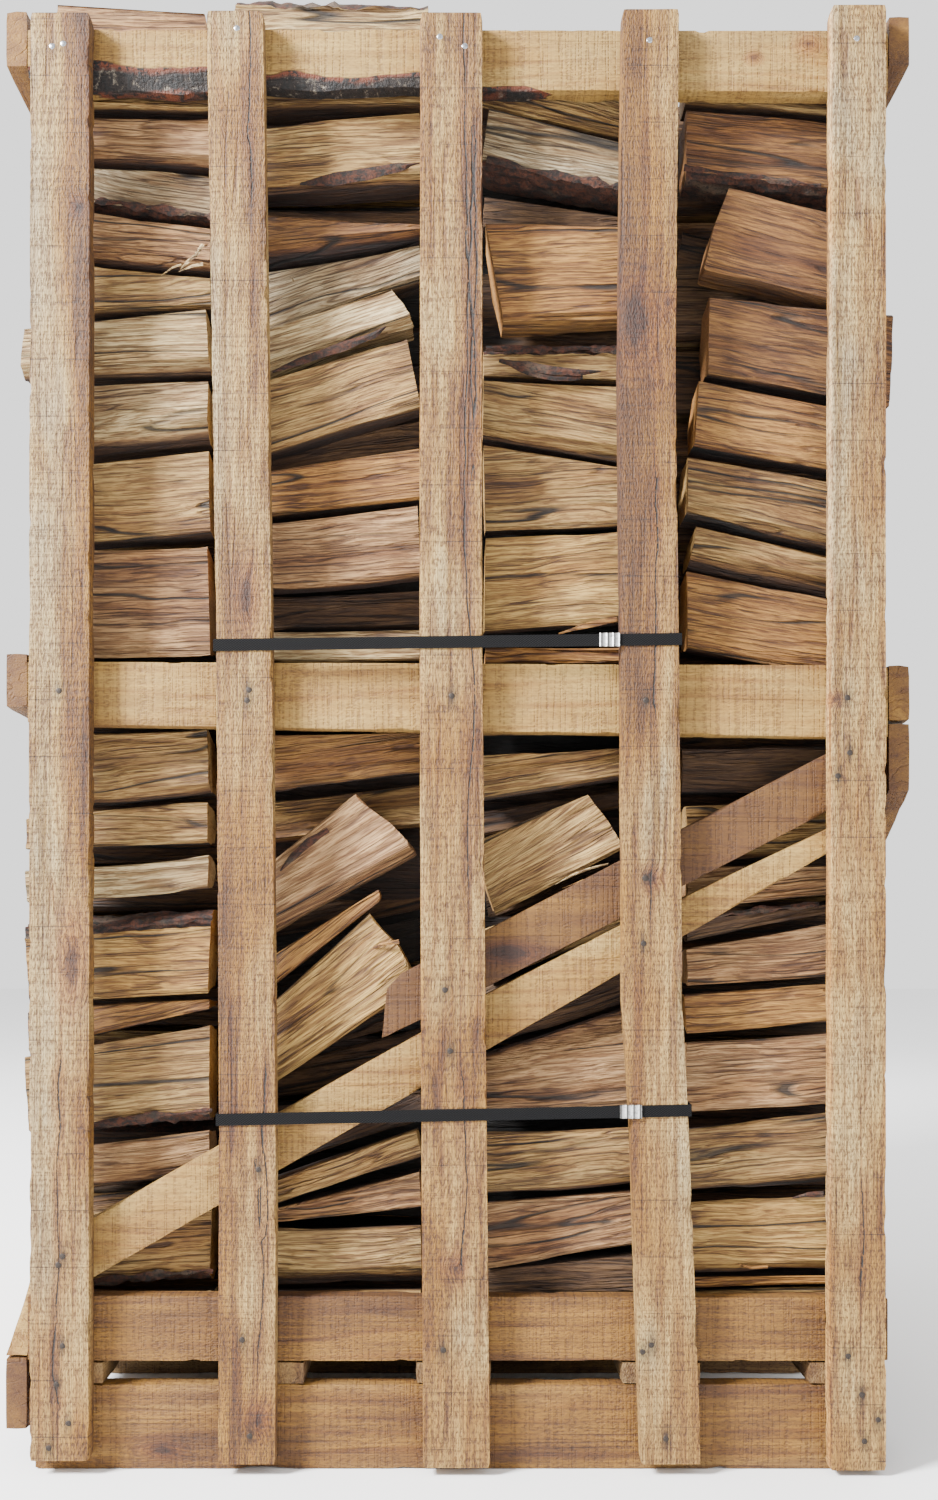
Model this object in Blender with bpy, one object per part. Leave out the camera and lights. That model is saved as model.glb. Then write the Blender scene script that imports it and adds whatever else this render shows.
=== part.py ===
"""Crate of split beech firewood on its own pallet base.

World frame: metres, +X to the right seen from the front, +Y to the back, +Z up.
The origin is the middle of the footprint, on the floor.
"""
import math
import random

import bmesh
import bpy

MM = 0.001
GAP = 0.3 * MM

# Driving sizes of the crate
FRONT_WIDTH = 1000 * MM
BOARD = 25 * MM
DEPTH = 1100 * MM
FRONT_Y = -DEPTH / 2
DECK_BOTTOM = 101 * MM
DECK_TOP = 126 * MM
FILL_TOP = 1700 * MM
RAIL_HALF = 508 * MM
SIDE_RAIL_IN = 509 * MM
SIDE_RAIL_OUT = SIDE_RAIL_IN + BOARD
SIDE_SLAT_OUT = SIDE_RAIL_OUT + BOARD
FILL_HALF = 524 * MM
FILL_DEPTH = 52 * MM
EDGE_ROUNDING = 1.4 * MM

# Front slats: (height, left edge, right edge) in mm, from the bottom up
FRONT_SLATS = {
    "slat_1_corner": [(19, -499, -429), (969, -500, -428), (1704, -498, -428)],
    "slat_2": [(15, -280, -212), (415, -279, -211), (969, -282, -216), (1706, -293, -226)],
    "slat_3": [(11, -41, 38), (415, -43, 34), (969, -45, 29), (1704, -44, 29)],
    "slat_4": [(15, 213, 284), (415, 200, 269), (555, 191, 262), (969, 189, 258),
               (1282, 186, 254), (1708, 191, 258)],
    "slat_5_corner": [(8, 433, 499), (1713, 435, 499)],
}

# Front rails and braces: outlines as (x, z) in mm
TOP_RAIL = [(-508, 1645), (-455, 1629), (-390, 1634), (-330, 1628), (-250, 1636), (-160, 1631),
            (-60, 1635), (30, 1629), (508, 1626), (508, 1700), (-508, 1702)]
MID_RAIL = [(-508, 880), (508, 863), (508, 950), (-508, 955)]
BOTTOM_RAIL = [(-508, 127), (508, 127), (508, 203), (-508, 206)]
LOWER_BRACE = [(-496, 208), (-461, 208), (487, 756), (487, 781), (427, 752), (267, 676), (194, 644),
               (33, 561), (-46, 514), (-210, 422), (-284, 381), (-434, 296), (-496, 262)]
UPPER_BRACE = [(-90, 508), (35, 569), (427, 771), (461, 789), (461, 858), (427, 841),
               (35, 638), (-68, 585), (-89, 562), (-76, 541)]
BASE_BEARER = [(-499, 0), (500, 0), (500, 101), (-499, 101)]
BEARER_OFFSETS = (25, 378, 697, 1050)

# Deck boards run front to back: (left edge, right edge) in mm
DECK_BOARDS = [(-500, -417), (-274, -180), (-50, 40), (193, 288), (414, 500)]

# Side frames: (name, bottom at front, top at front, distance of the front end from the front) in mm
LEFT_RAILS = [("bottom_rail", 46, 133, 25), ("mid_rail", 899, 965, 26), ("top_rail", 1656, 1724, 26)]
RIGHT_RAILS = [("bottom_rail", 127, 204, 118), ("mid_rail", 883, 951, 25), ("top_rail", 1656, 1717, 25)]
BRACE_HIGH = 882
BRACE_LOW = 210
SIDE_BRACE_WIDTH = 82
SIDE_SLATS = [(205, 275), (512, 586), (822, 893)]

# Stacked firewood, one stack of rows behind each bay: (left end, right end) in mm
STACK_SPANS = [(-FILL_HALF / MM, -297), (-279, -42), (30, 256), (275, FILL_HALF / MM)]
OUTER_STACKS = {1: "left", 4: "right"}

# Lower edge of each row at the left and right end of its stack, and how far back its face lies, in mm
PLAIN = 56
SUNK = 74
PROUD = 46
POCKET = 136
STACK_ROWS = [
    [(127, 127, PLAIN), (190, 207, PLAIN), (290, 326, 66), (372, 396, 60), (480, 528, PLAIN),
     (540, 555, 62), (645, 667, PLAIN), (706, 729, PROUD + 8), (770, 794, 60), (874, 881, PLAIN),
     (958, 964, PROUD), (1094, 1103, PROUD), (1188, 1218, 50), (1295, 1302, 60), (1368, 1389, PROUD),
     (1450, 1428, 60), (1512, 1487, PLAIN), (1568, 1558, SUNK), (1628, 1619, PLAIN)],
    [(127, 127, PLAIN), (200, 206, PLAIN), (228, 246, 60), (276, 286, PLAIN), (330, 396, 66),
     (416, 416, POCKET), (828, 828, 66), (882, 882, PLAIN), (984, 986, 84), (1042, 1058, 50),
     (1128, 1151, 60), (1188, 1226, PROUD), (1282, 1362, POCKET), (1346, 1420, SUNK),
     (1436, 1476, 50), (1505, 1486, PLAIN), (1606, 1628, PLAIN)],
    [(127, 127, PLAIN), (193, 193, PLAIN), (247, 247, 60), (306, 326, 62), (394, 405, PLAIN),
     (493, 545, 70), (572, 640, SUNK), (644, 726, POCKET), (752, 846, 66), (869, 872, PLAIN),
     (986, 1010, PROUD), (1108, 1126, 52), (1228, 1190, 60), (1300, 1292, PROUD), (1354, 1366, POCKET),
     (1492, 1490, SUNK), (1545, 1492, PLAIN), (1630, 1580, PLAIN)],
    [(127, 127, PLAIN), (205, 220, PLAIN), (309, 326, PROUD + 8), (399, 424, PLAIN), (506, 520, 60),
     (563, 577, SUNK), (618, 664, 62), (655, 700, 84), (713, 741, PLAIN), (821, 842, PLAIN),
     (962, 936, 50), (1075, 1028, 60), (1132, 1080, PROUD), (1213, 1168, 52), (1306, 1250, PROUD + 6),
     (1424, 1360, POCKET), (1558, 1500, SUNK), (1634, 1612, PLAIN)],
]

# Single logs that lean or stand out: outline as (x, z) in mm, front depth and thickness in mm
LEANING_LOGS = {
    "log_leaning_upper": ([(-279, 1292), (-52, 1364), (-79, 1416), (-279, 1344)], 48, 81),
    "log_leaning_big": ([(-280, 606), (-51, 729), (-113, 803), (-280, 669)], 52, 77),
    "log_leaning_middle": ([(-280, 525), (-93, 668), (-95, 688), (-280, 572)], 58, 72),
    "log_leaning_lower": ([(-272, 426), (-200, 467), (-69, 550), (-51, 618), (-89, 662), (-268, 500)], 52, 77),
    "log_big_face": ([(57, 1364), (252, 1372), (252, 1484), (33, 1486)], 46, 83),
    "log_leaning_right": ([(32, 653), (197, 735), (165, 803), (32, 744)], 52, 77),
    "log_slanting_right": ([(298, 1428), (503, 1376), (503, 1488), (318, 1534)], 44, 85),
}
TOP_LOGS = {
    "log_on_top_left": ([(-487, 1701), (-303, 1701), (-306, 1749), (-400, 1750), (-484, 1760)], 62, 84),
    "log_on_top_middle": ([(-272, 1701), (-36, 1701), (-34, 1762), (-150, 1760), (-268, 1767)], 58, 96),
}

# Straps: (height of the lower edge at the left end, at the right end) in mm
STRAPS = {"strap_upper": (961, 968), "strap_lower": (409, 420)}
STRAP_LEFT = {"strap_upper": -283.6, "strap_lower": -280.6}
STRAP_RIGHT = {"strap_upper": 259.6, "strap_lower": 270.8}
STRAP_WIDTH = 14 * MM
STRAP_THICK = 0.9 * MM
SEALS = {"seal_upper": (164, 188, "strap_upper"), "seal_lower": (188, 214, "strap_lower")}
SEAL_THICK = 2.0 * MM
STRAP_BACK_SLACK = SEAL_THICK + GAP

# Colours (linear) and finishes
WOOD_SLAT = (0.50, 0.33, 0.18)
WOOD_RAIL = (0.55, 0.38, 0.21)
WOOD_BASE = (0.46, 0.29, 0.17)
WOOD_SPLIT = (0.58, 0.38, 0.23)
STRAP_BLACK = (0.012, 0.012, 0.014)
SEAL_STEEL = (0.62, 0.62, 0.63)


def clear_scene():
    """Start from an empty scene."""
    for item in list(bpy.data.objects):
        bpy.data.objects.remove(item, do_unlink=True)


def make_material(name, colour, roughness, metallic=0.0):
    """Return a Principled material."""
    material = bpy.data.materials.new(name)
    material.use_nodes = True
    shader = material.node_tree.nodes["Principled BSDF"]
    shader.inputs["Base Color"].default_value = (*colour, 1.0)
    shader.inputs["Roughness"].default_value = roughness
    shader.inputs["Metallic"].default_value = metallic
    material.diffuse_color = (*colour, 1.0)
    return material


def add_object(name, mesh_builder, material, parent):
    """Turn a bmesh into a named object with one material."""
    bmesh.ops.remove_doubles(mesh_builder, verts=mesh_builder.verts, dist=1e-6)
    bmesh.ops.recalc_face_normals(mesh_builder, faces=mesh_builder.faces)
    mesh = bpy.data.meshes.new(name)
    mesh_builder.to_mesh(mesh)
    mesh_builder.free()
    mesh.materials.append(material)
    item = bpy.data.objects.new(name, mesh)
    bpy.context.collection.objects.link(item)
    item.parent = parent
    return item


def round_edges(item, width=EDGE_ROUNDING):
    """Take the sharp corners off a sawn board."""
    bevel = item.modifiers.new("worn edges", "BEVEL")
    bevel.width = width
    bevel.segments = 1
    bevel.limit_method = "ANGLE"
    bevel.angle_limit = math.radians(40)


def prism(name, outline, low, high, axis, material, parent):
    """Extrude a flat outline: axis Y takes (x, z) points, axis X takes (y, z) points."""
    builder = bmesh.new()
    rings = []
    for level in (low, high):
        if axis == "Y":
            ring = [builder.verts.new((u, level, v)) for u, v in outline]
        else:
            ring = [builder.verts.new((level, u, v)) for u, v in outline]
        rings.append(ring)
    builder.faces.new(rings[0])
    builder.faces.new(reversed(rings[1]))
    count = len(outline)
    for index in range(count):
        following = (index + 1) % count
        builder.faces.new((rings[0][index], rings[1][index], rings[1][following], rings[0][following]))
    return add_object(name, builder, material, parent)


def to_metres(points):
    """Scale a list of pairs from millimetres."""
    return [(first * MM, second * MM) for first, second in points]


def slat_outline(stations):
    """Outline of a slat from its (height, left, right) stations."""
    left = [(x_left * MM, height * MM) for height, x_left, x_right in stations]
    right = [(x_right * MM, height * MM) for height, x_left, x_right in stations]
    return left + right[::-1]


def facing_layer(side, near, far):
    """Depth range of a layer behind the front face, or its mirror image at the back."""
    low = FRONT_Y + near
    high = FRONT_Y + far
    if side == "back":
        return -high, -low
    return low, high


def build_facing(side, slat_material, rail_material, parent):
    """Front or back panel: five slats outside, three rails and two braces inside."""
    slat_low, slat_high = facing_layer(side, 0.0, BOARD - GAP)
    rail_low, rail_high = facing_layer(side, BOARD, 2 * BOARD - GAP)
    for name, stations in FRONT_SLATS.items():
        outline = slat_outline(stations)
        round_edges(prism(f"{side}_{name}", outline, slat_low, slat_high, "Y", slat_material, parent))
    inner = {"top_rail": TOP_RAIL, "mid_rail": MID_RAIL, "bottom_rail": BOTTOM_RAIL,
             "brace_lower": LOWER_BRACE, "brace_upper": UPPER_BRACE}
    for name, points in inner.items():
        flip = -1 if side == "back" and name.startswith("brace") else 1
        outline = [(flip * x, z) for x, z in to_metres(points)]
        round_edges(prism(f"{side}_{name}", outline, rail_low, rail_high, "Y", rail_material, parent))


def side_brace_outline(side):
    """Outline (y, z) of the sloping board between the bottom and the middle side rail."""
    near = FRONT_Y + BOARD
    far = -FRONT_Y - BOARD
    low = BRACE_LOW * MM
    high = BRACE_HIGH * MM
    width = SIDE_BRACE_WIDTH * MM
    if side == "left":
        low = 134 * MM
        high = 897 * MM
        return [(near, low), (near + 0.10, low), (far, high - width), (far, high), (far - 0.02, high)]
    return [(near, high - width), (far - 0.09, low), (far, low), (far, low + 0.012), (near + 0.02, high), (near, high)]


def build_side(side, slat_material, rail_material, parent):
    """Left or right panel: three rails and a brace inside, three slats outside."""
    sign = -1 if side == "left" else 1
    inner, outer = sorted((sign * SIDE_RAIL_IN, sign * (SIDE_RAIL_OUT - GAP)))
    rails = LEFT_RAILS if side == "left" else RIGHT_RAILS
    pieces = []
    for name, bottom, top, start in rails:
        near = FRONT_Y + start * MM
        far = -FRONT_Y - BOARD
        outline = [(near, bottom * MM), (far, bottom * MM), (far, top * MM), (near, top * MM)]
        pieces.append(prism(f"{side}_{name}", outline, inner, outer, "X", rail_material, parent))
    outline = side_brace_outline(side)
    pieces.append(prism(f"{side}_brace", outline, inner, outer, "X", rail_material, parent))
    for piece in pieces:
        round_edges(piece)
    inner, outer = sorted((sign * SIDE_RAIL_OUT, sign * SIDE_SLAT_OUT))
    for number, (near, far) in enumerate(SIDE_SLATS, start=1):
        low = FRONT_Y + near * MM
        high = FRONT_Y + far * MM
        bottom = 52 * MM if side == "left" else 122 * MM
        top = (1716 - 4 * number) * MM
        outline = [(low, bottom), (high, bottom), (high, top), (low, top)]
        name = f"{side}_slat_{number}"
        round_edges(prism(name, outline, inner, outer, "X", slat_material, parent))
    return pieces


def build_base(material, parent):
    """Bearers across the width and deck boards from front to back."""
    for number, offset in enumerate(BEARER_OFFSETS, start=1):
        low = FRONT_Y + offset * MM
        name = f"base_bearer_{number}"
        outline = [(x, z - (GAP if z > 0 else 0)) for x, z in to_metres(BASE_BEARER)]
        round_edges(prism(name, outline, low, low + BOARD - GAP, "Y", material, parent))
    low = FRONT_Y + BOARD
    for number, (left, right) in enumerate(DECK_BOARDS, start=1):
        outline = [(left * MM, DECK_BOTTOM), (right * MM, DECK_BOTTOM),
                   (right * MM, DECK_TOP), (left * MM, DECK_TOP)]
        round_edges(prism(f"deck_board_{number}", outline, low, -low, "Y", material, parent))


def log_face(low, high, depth, groove):
    """Points (depth, height) of one log's rounded face, from its lower crack upward, in mm."""
    height = high - low
    shoulder = min(9.0, height * 0.2)
    return [(depth + groove, low), (depth + 2, low + shoulder), (depth - 2, low + height * 0.55),
            (depth + 1, high - shoulder)]


def stack_section(rows, share, random_rows, wave):
    """Closed (depth, height) outline of a stack at a share of its length, in mm."""
    top = FILL_TOP / MM
    edges = [(1 - share) * left + share * right for left, right, depth in rows] + [top - 22]
    depths = [depth for left, right, depth in rows]
    points = []
    for index, depth in enumerate(depths):
        behind = max(depth, depths[index - 1] if index else depth)
        face = log_face(edges[index], edges[index + 1], depth + wave[index], 0)
        points.append((behind + 16 if index else depth + 2, edges[index]))
        points.extend(face[1:])
    span = DEPTH / MM - 2 * FILL_DEPTH / MM
    ridges = random_rows["ridges"]
    for index in range(ridges):
        start = FILL_DEPTH / MM + span * index / ridges
        stop = FILL_DEPTH / MM + span * (index + 1) / ridges
        crest = random_rows["crest"][index]
        points.append((start + 4, top - 26))
        points.append((start + 18, top - crest))
        points.append((stop - 20, top - crest * 0.4))
    back = DEPTH / MM - PLAIN
    cuts = random_rows["cuts"]
    for index in range(len(cuts) - 1, 0, -1):
        upper = cuts[index] + random_rows["slope"][index] * (share - 0.5)
        lower = cuts[index - 1] + random_rows["slope"][index - 1] * (share - 0.5)
        face = log_face(lower, upper, 0, 16)
        points.append((back - face[0][0], upper))
        points.extend((back - depth, height) for depth, height in face[:0:-1])
    points.append((back - 2, cuts[0]))
    return points


def random_back(chooser):
    """Heights and slopes of the rows on the back of a stack, and its ridges on top, in mm."""
    cuts = [127.0]
    while cuts[-1] < 1590:
        cuts.append(cuts[-1] + chooser.uniform(62, 108))
    cuts[-1] = FILL_TOP / MM - 24
    slope = [chooser.uniform(-20, 20) for cut in cuts]
    slope[0] = 0.0
    slope[-1] = 0.0
    ridges = 10
    crest = [chooser.uniform(2, 14) for ridge in range(ridges)]
    return {"cuts": cuts, "slope": slope, "ridges": ridges, "crest": crest}


def build_stack(number, span, rows, material, parent):
    """One stack of split logs: a loft of its bumpy section from its left to its right end."""
    chooser = random.Random(40 + number)
    back_rows = random_back(chooser)
    builder = bmesh.new()
    rings = []
    for share in (0.0, 0.4, 1.0):
        wave = [chooser.uniform(-3, 3) for row in rows]
        x = (span[0] + share * (span[1] - span[0])) * MM
        section = stack_section(rows, share, back_rows, wave)
        rings.append([builder.verts.new((x, FRONT_Y + depth * MM, height * MM)) for depth, height in section])
    for left, right in zip(rings, rings[1:]):
        count = len(left)
        for index in range(count):
            following = (index + 1) % count
            builder.faces.new((left[index], right[index], right[following], left[following]))
    builder.faces.new(rings[0])
    builder.faces.new(reversed(rings[-1]))
    builder.normal_update()
    bmesh.ops.triangulate(builder, faces=builder.faces)
    return add_object(f"log_stack_{number}", builder, material, parent)


def build_single_log(name, outline, depth, thickness, material, parent):
    """A split log as a wedge: its face outline in front, a narrower one behind."""
    narrowing = 0.62
    centre_x = sum(x for x, z in outline) / len(outline)
    centre_z = sum(z for x, z in outline) / len(outline)
    builder = bmesh.new()
    front = FRONT_Y + depth * MM
    layers = [(0.0, 0.94), (0.12, 1.0), (1.0, narrowing)]
    rings = []
    for share, scale in layers:
        y = front + share * thickness * MM
        ring = []
        for x, z in outline:
            px = (centre_x + (x - centre_x) * (0.98 if scale < 1.0 else 1.0)) * MM
            pz = (centre_z + (z - centre_z) * scale) * MM
            ring.append(builder.verts.new((px, y, pz)))
        rings.append(ring)
    count = len(outline)
    for near, far in zip(rings, rings[1:]):
        for index in range(count):
            following = (index + 1) % count
            builder.faces.new((near[index], far[index], far[following], near[following]))
    builder.faces.new(rings[0])
    builder.faces.new(reversed(rings[-1]))
    builder.normal_update()
    bmesh.ops.triangulate(builder, faces=builder.faces)
    return add_object(name, builder, material, parent)


def build_top_log(name, outline, depth, thickness, material, parent):
    """A log lying on top of the fill, with a rounded back."""
    builder = bmesh.new()
    base = outline[0][1]
    rings = []
    for share, scale in ((0.0, 0.93), (0.06, 1.0), (0.75, 0.95), (1.0, 0.3)):
        y = FRONT_Y + (depth + share * thickness) * MM
        rings.append([builder.verts.new((x * MM, y, (base + (z - base) * scale) * MM)) for x, z in outline])
    count = len(outline)
    for near, far in zip(rings, rings[1:]):
        for index in range(count):
            following = (index + 1) % count
            builder.faces.new((near[index], far[index], far[following], near[following]))
    builder.faces.new(rings[0])
    builder.faces.new(reversed(rings[-1]))
    builder.normal_update()
    bmesh.ops.triangulate(builder, faces=builder.faces)
    return add_object(name, builder, material, parent)


def cut_away(item, sources, clearance):
    """Cut the room that side rails and braces take, with clearance, out of a stack."""
    for source in sources:
        builder = bmesh.new()
        builder.from_mesh(source.data)
        builder.normal_update()
        steps = [vertex.normal * vertex.calc_shell_factor() * clearance for vertex in builder.verts]
        for vertex, step in zip(builder.verts, steps):
            vertex.co += step
        cutter = add_object("cutter", builder, source.data.materials[0], None)
        boolean = item.modifiers.new("room for rail", "BOOLEAN")
        boolean.operation = "DIFFERENCE"
        boolean.solver = "EXACT"
        boolean.object = cutter
        evaluated = item.evaluated_get(bpy.context.evaluated_depsgraph_get())
        result = bpy.data.meshes.new_from_object(evaluated)
        item.modifiers.clear()
        item.data = result
        bpy.data.objects.remove(cutter, do_unlink=True)


def build_strap(name, material, parent):
    """A flat strap around the middle slats, closed in a rectangular loop."""
    left_edge = STRAP_LEFT[name] * MM
    right_edge = STRAP_RIGHT[name] * MM
    low_left, low_right = (value * MM for value in STRAPS[name])
    front = FRONT_Y - GAP
    builder = bmesh.new()
    rings = []
    for grow in (0.0, STRAP_THICK):
        back = -front + STRAP_BACK_SLACK + grow
        corners = [(left_edge - grow, front - grow), (right_edge + grow, front - grow),
                   (right_edge + grow, back), (left_edge - grow, back)]
        for lift in (0.0, STRAP_WIDTH):
            ring = []
            for x, y in corners:
                base = low_left if x < 0 else low_right
                ring.append(builder.verts.new((x, y, base + lift)))
            rings.append(ring)
    order = (rings[0], rings[2], rings[3], rings[1])
    for first, second in zip(order, order[1:] + order[:1]):
        for index in range(4):
            following = (index + 1) % 4
            builder.faces.new((first[index], second[index], second[following], first[following]))
    return add_object(name, builder, material, parent)


def build_seal(name, left, right, strap, material, parent):
    """Crimped metal seal on the front run of a strap."""
    share = ((left + right) / 2 - STRAP_LEFT[strap]) / (STRAP_RIGHT[strap] - STRAP_LEFT[strap])
    low = (STRAPS[strap][0] + share * (STRAPS[strap][1] - STRAPS[strap][0])) * MM
    outline = [(left * MM, low - 1 * MM), (right * MM, low - 1 * MM),
               (right * MM, low + 15 * MM), (left * MM, low + 15 * MM)]
    outer = FRONT_Y - GAP - STRAP_THICK - GAP
    seal = prism(name, outline, outer - SEAL_THICK, outer, "Y", material, parent)
    round_edges(seal, 0.5 * MM)
    return seal


def main():
    """Build the whole crate with its wood."""
    clear_scene()
    crate = bpy.data.objects.new("crate_of_firewood", None)
    bpy.context.collection.objects.link(crate)
    slat_wood = make_material("slat_wood", WOOD_SLAT, 0.75)
    rail_wood = make_material("rail_wood", WOOD_RAIL, 0.75)
    base_wood = make_material("base_wood", WOOD_BASE, 0.8)
    split_wood = make_material("firewood", WOOD_SPLIT, 0.8)
    strap_black = make_material("strap_plastic", STRAP_BLACK, 0.5)
    seal_steel = make_material("seal_steel", SEAL_STEEL, 0.35, 1.0)

    for side in ("front", "back"):
        build_facing(side, slat_wood, rail_wood, crate)
    side_pieces = {}
    for side in ("left", "right"):
        side_pieces[side] = build_side(side, slat_wood, rail_wood, crate)
    build_base(base_wood, crate)
    for number, (span, rows) in enumerate(zip(STACK_SPANS, STACK_ROWS), start=1):
        stack = build_stack(number, span, rows, split_wood, crate)
        if number in OUTER_STACKS:
            cut_away(stack, side_pieces[OUTER_STACKS[number]], 1 * MM)
    for name, (points, depth, thickness) in LEANING_LOGS.items():
        build_single_log(name, points, depth, thickness, split_wood, crate)
    for name, (points, depth, thickness) in TOP_LOGS.items():
        build_top_log(name, points, depth, thickness, split_wood, crate)
    for name in STRAPS:
        build_strap(name, strap_black, crate)
    for name, (left, right, strap) in SEALS.items():
        build_seal(name, left, right, strap, seal_steel, crate)


main()
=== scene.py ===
"""Looks of the crate of firewood: sawn boards, split logs, straps and a plain studio."""

import math
import random

import bpy
import numpy as np
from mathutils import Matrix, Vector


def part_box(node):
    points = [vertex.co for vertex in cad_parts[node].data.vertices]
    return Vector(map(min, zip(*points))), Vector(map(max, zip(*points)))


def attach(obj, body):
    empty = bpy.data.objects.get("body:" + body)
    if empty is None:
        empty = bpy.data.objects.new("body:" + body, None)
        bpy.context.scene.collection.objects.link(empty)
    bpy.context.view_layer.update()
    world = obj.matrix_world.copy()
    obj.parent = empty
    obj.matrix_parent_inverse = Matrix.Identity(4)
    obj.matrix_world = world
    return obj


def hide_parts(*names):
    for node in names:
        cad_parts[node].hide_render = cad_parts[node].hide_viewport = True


MM = 0.001

# What the camera saw: the distance from the front slats, its height and its place to the side
CAMERA_DISTANCE = 1.6
CAMERA_HEIGHT = 0.631
CAMERA_SIDE = -0.015
CAMERA_LENS = 33.02
CAMERA_SHIFT = (0.016, 0.1233)

# How wood colours are made darker and richer, to suit the bright studio
STUDIO_BALANCE = 0.43
STUDIO_DEPTH = 1.38

# Visible stretch of each bay between the front slats: (left, right) in mm
BAYS = [(-438, -295), (-217, -47), (35, 194), (273, 438)]

# Colours as seen (sRGB)
CREAM = (0.97, 0.89, 0.72)
TAN = (0.89, 0.77, 0.54)
PINK = (0.89, 0.75, 0.57)
ORANGE = (0.85, 0.68, 0.41)
RUST = (0.74, 0.57, 0.34)
BROWN = (0.58, 0.46, 0.32)
GREY = (0.88, 0.82, 0.70)
STRAW = (0.92, 0.79, 0.52)
# A dark brown that is painted shade, for logs lying deep in the shade of the stacks
PAINTED_SHADE_BROWN = (0.32, 0.26, 0.19)

# Cross-sections of split logs: (depth share, height share), from the front's lower edge upward
SECTIONS = {
    "flat": [(0.08, 0.0), (0.0, 0.07), (0.03, 0.95), (0.12, 1.0), (0.75, 0.92), (1.0, 0.5), (0.7, 0.05)],
    "ridge": [(0.36, 0.0), (0.03, 0.30), (0.0, 0.35), (0.07, 0.97), (0.16, 1.0), (0.8, 0.82), (1.0, 0.35),
              (0.8, 0.02)],
    "low_ridge": [(0.26, 0.0), (0.02, 0.15), (0.0, 0.19), (0.05, 0.96), (0.14, 1.0), (0.8, 0.88),
                  (1.0, 0.4), (0.75, 0.03)],
    "peak": [(0.08, 0.0), (0.0, 0.07), (0.03, 0.70), (0.2, 0.97), (0.3, 1.0), (0.8, 0.85), (1.0, 0.4),
             (0.7, 0.04)],
    "bark_top": [(0.08, 0.0), (0.0, 0.07), (0.03, 0.78), (0.12, 0.93), (0.3, 1.0), (0.75, 0.96),
                 (1.0, 0.5), (0.7, 0.05)],
    "bark_low": [(0.42, 0.0), (0.14, 0.03), (0.02, 0.11), (0.0, 0.17), (0.05, 0.97), (0.14, 1.0),
                 (0.8, 0.88), (1.0, 0.4), (0.75, 0.03)],
    "block": [(0.04, 0.0), (0.0, 0.06), (0.02, 0.94), (0.08, 1.0), (0.92, 0.98), (1.0, 0.9), (0.98, 0.08),
              (0.9, 0.02)],
    "wedge": [(0.02, 0.0), (0.0, 0.08), (0.06, 0.55), (0.28, 0.98), (0.72, 1.0), (1.0, 0.5), (0.96, 0.0)],
    "lump": [(0.12, 0.0), (0.0, 0.25), (0.04, 0.85), (0.2, 1.0), (0.8, 0.97), (1.0, 0.7), (0.95, 0.12),
             (0.82, 0.0)],
    "bark_lump": [(0.1, 0.0), (0.0, 0.2), (0.02, 0.8), (0.2, 0.97), (0.5, 1.0), (0.8, 0.95), (1.0, 0.7),
                  (0.93, 0.05)],
}
# Segments of a section that are bark, counted from its first corner
BARK_SEGMENTS = {"bark_top": (2, 3, 4, 5), "bark_low": (0, 1, 8), "bark_lump": (2, 3, 4, 5)}
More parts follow.
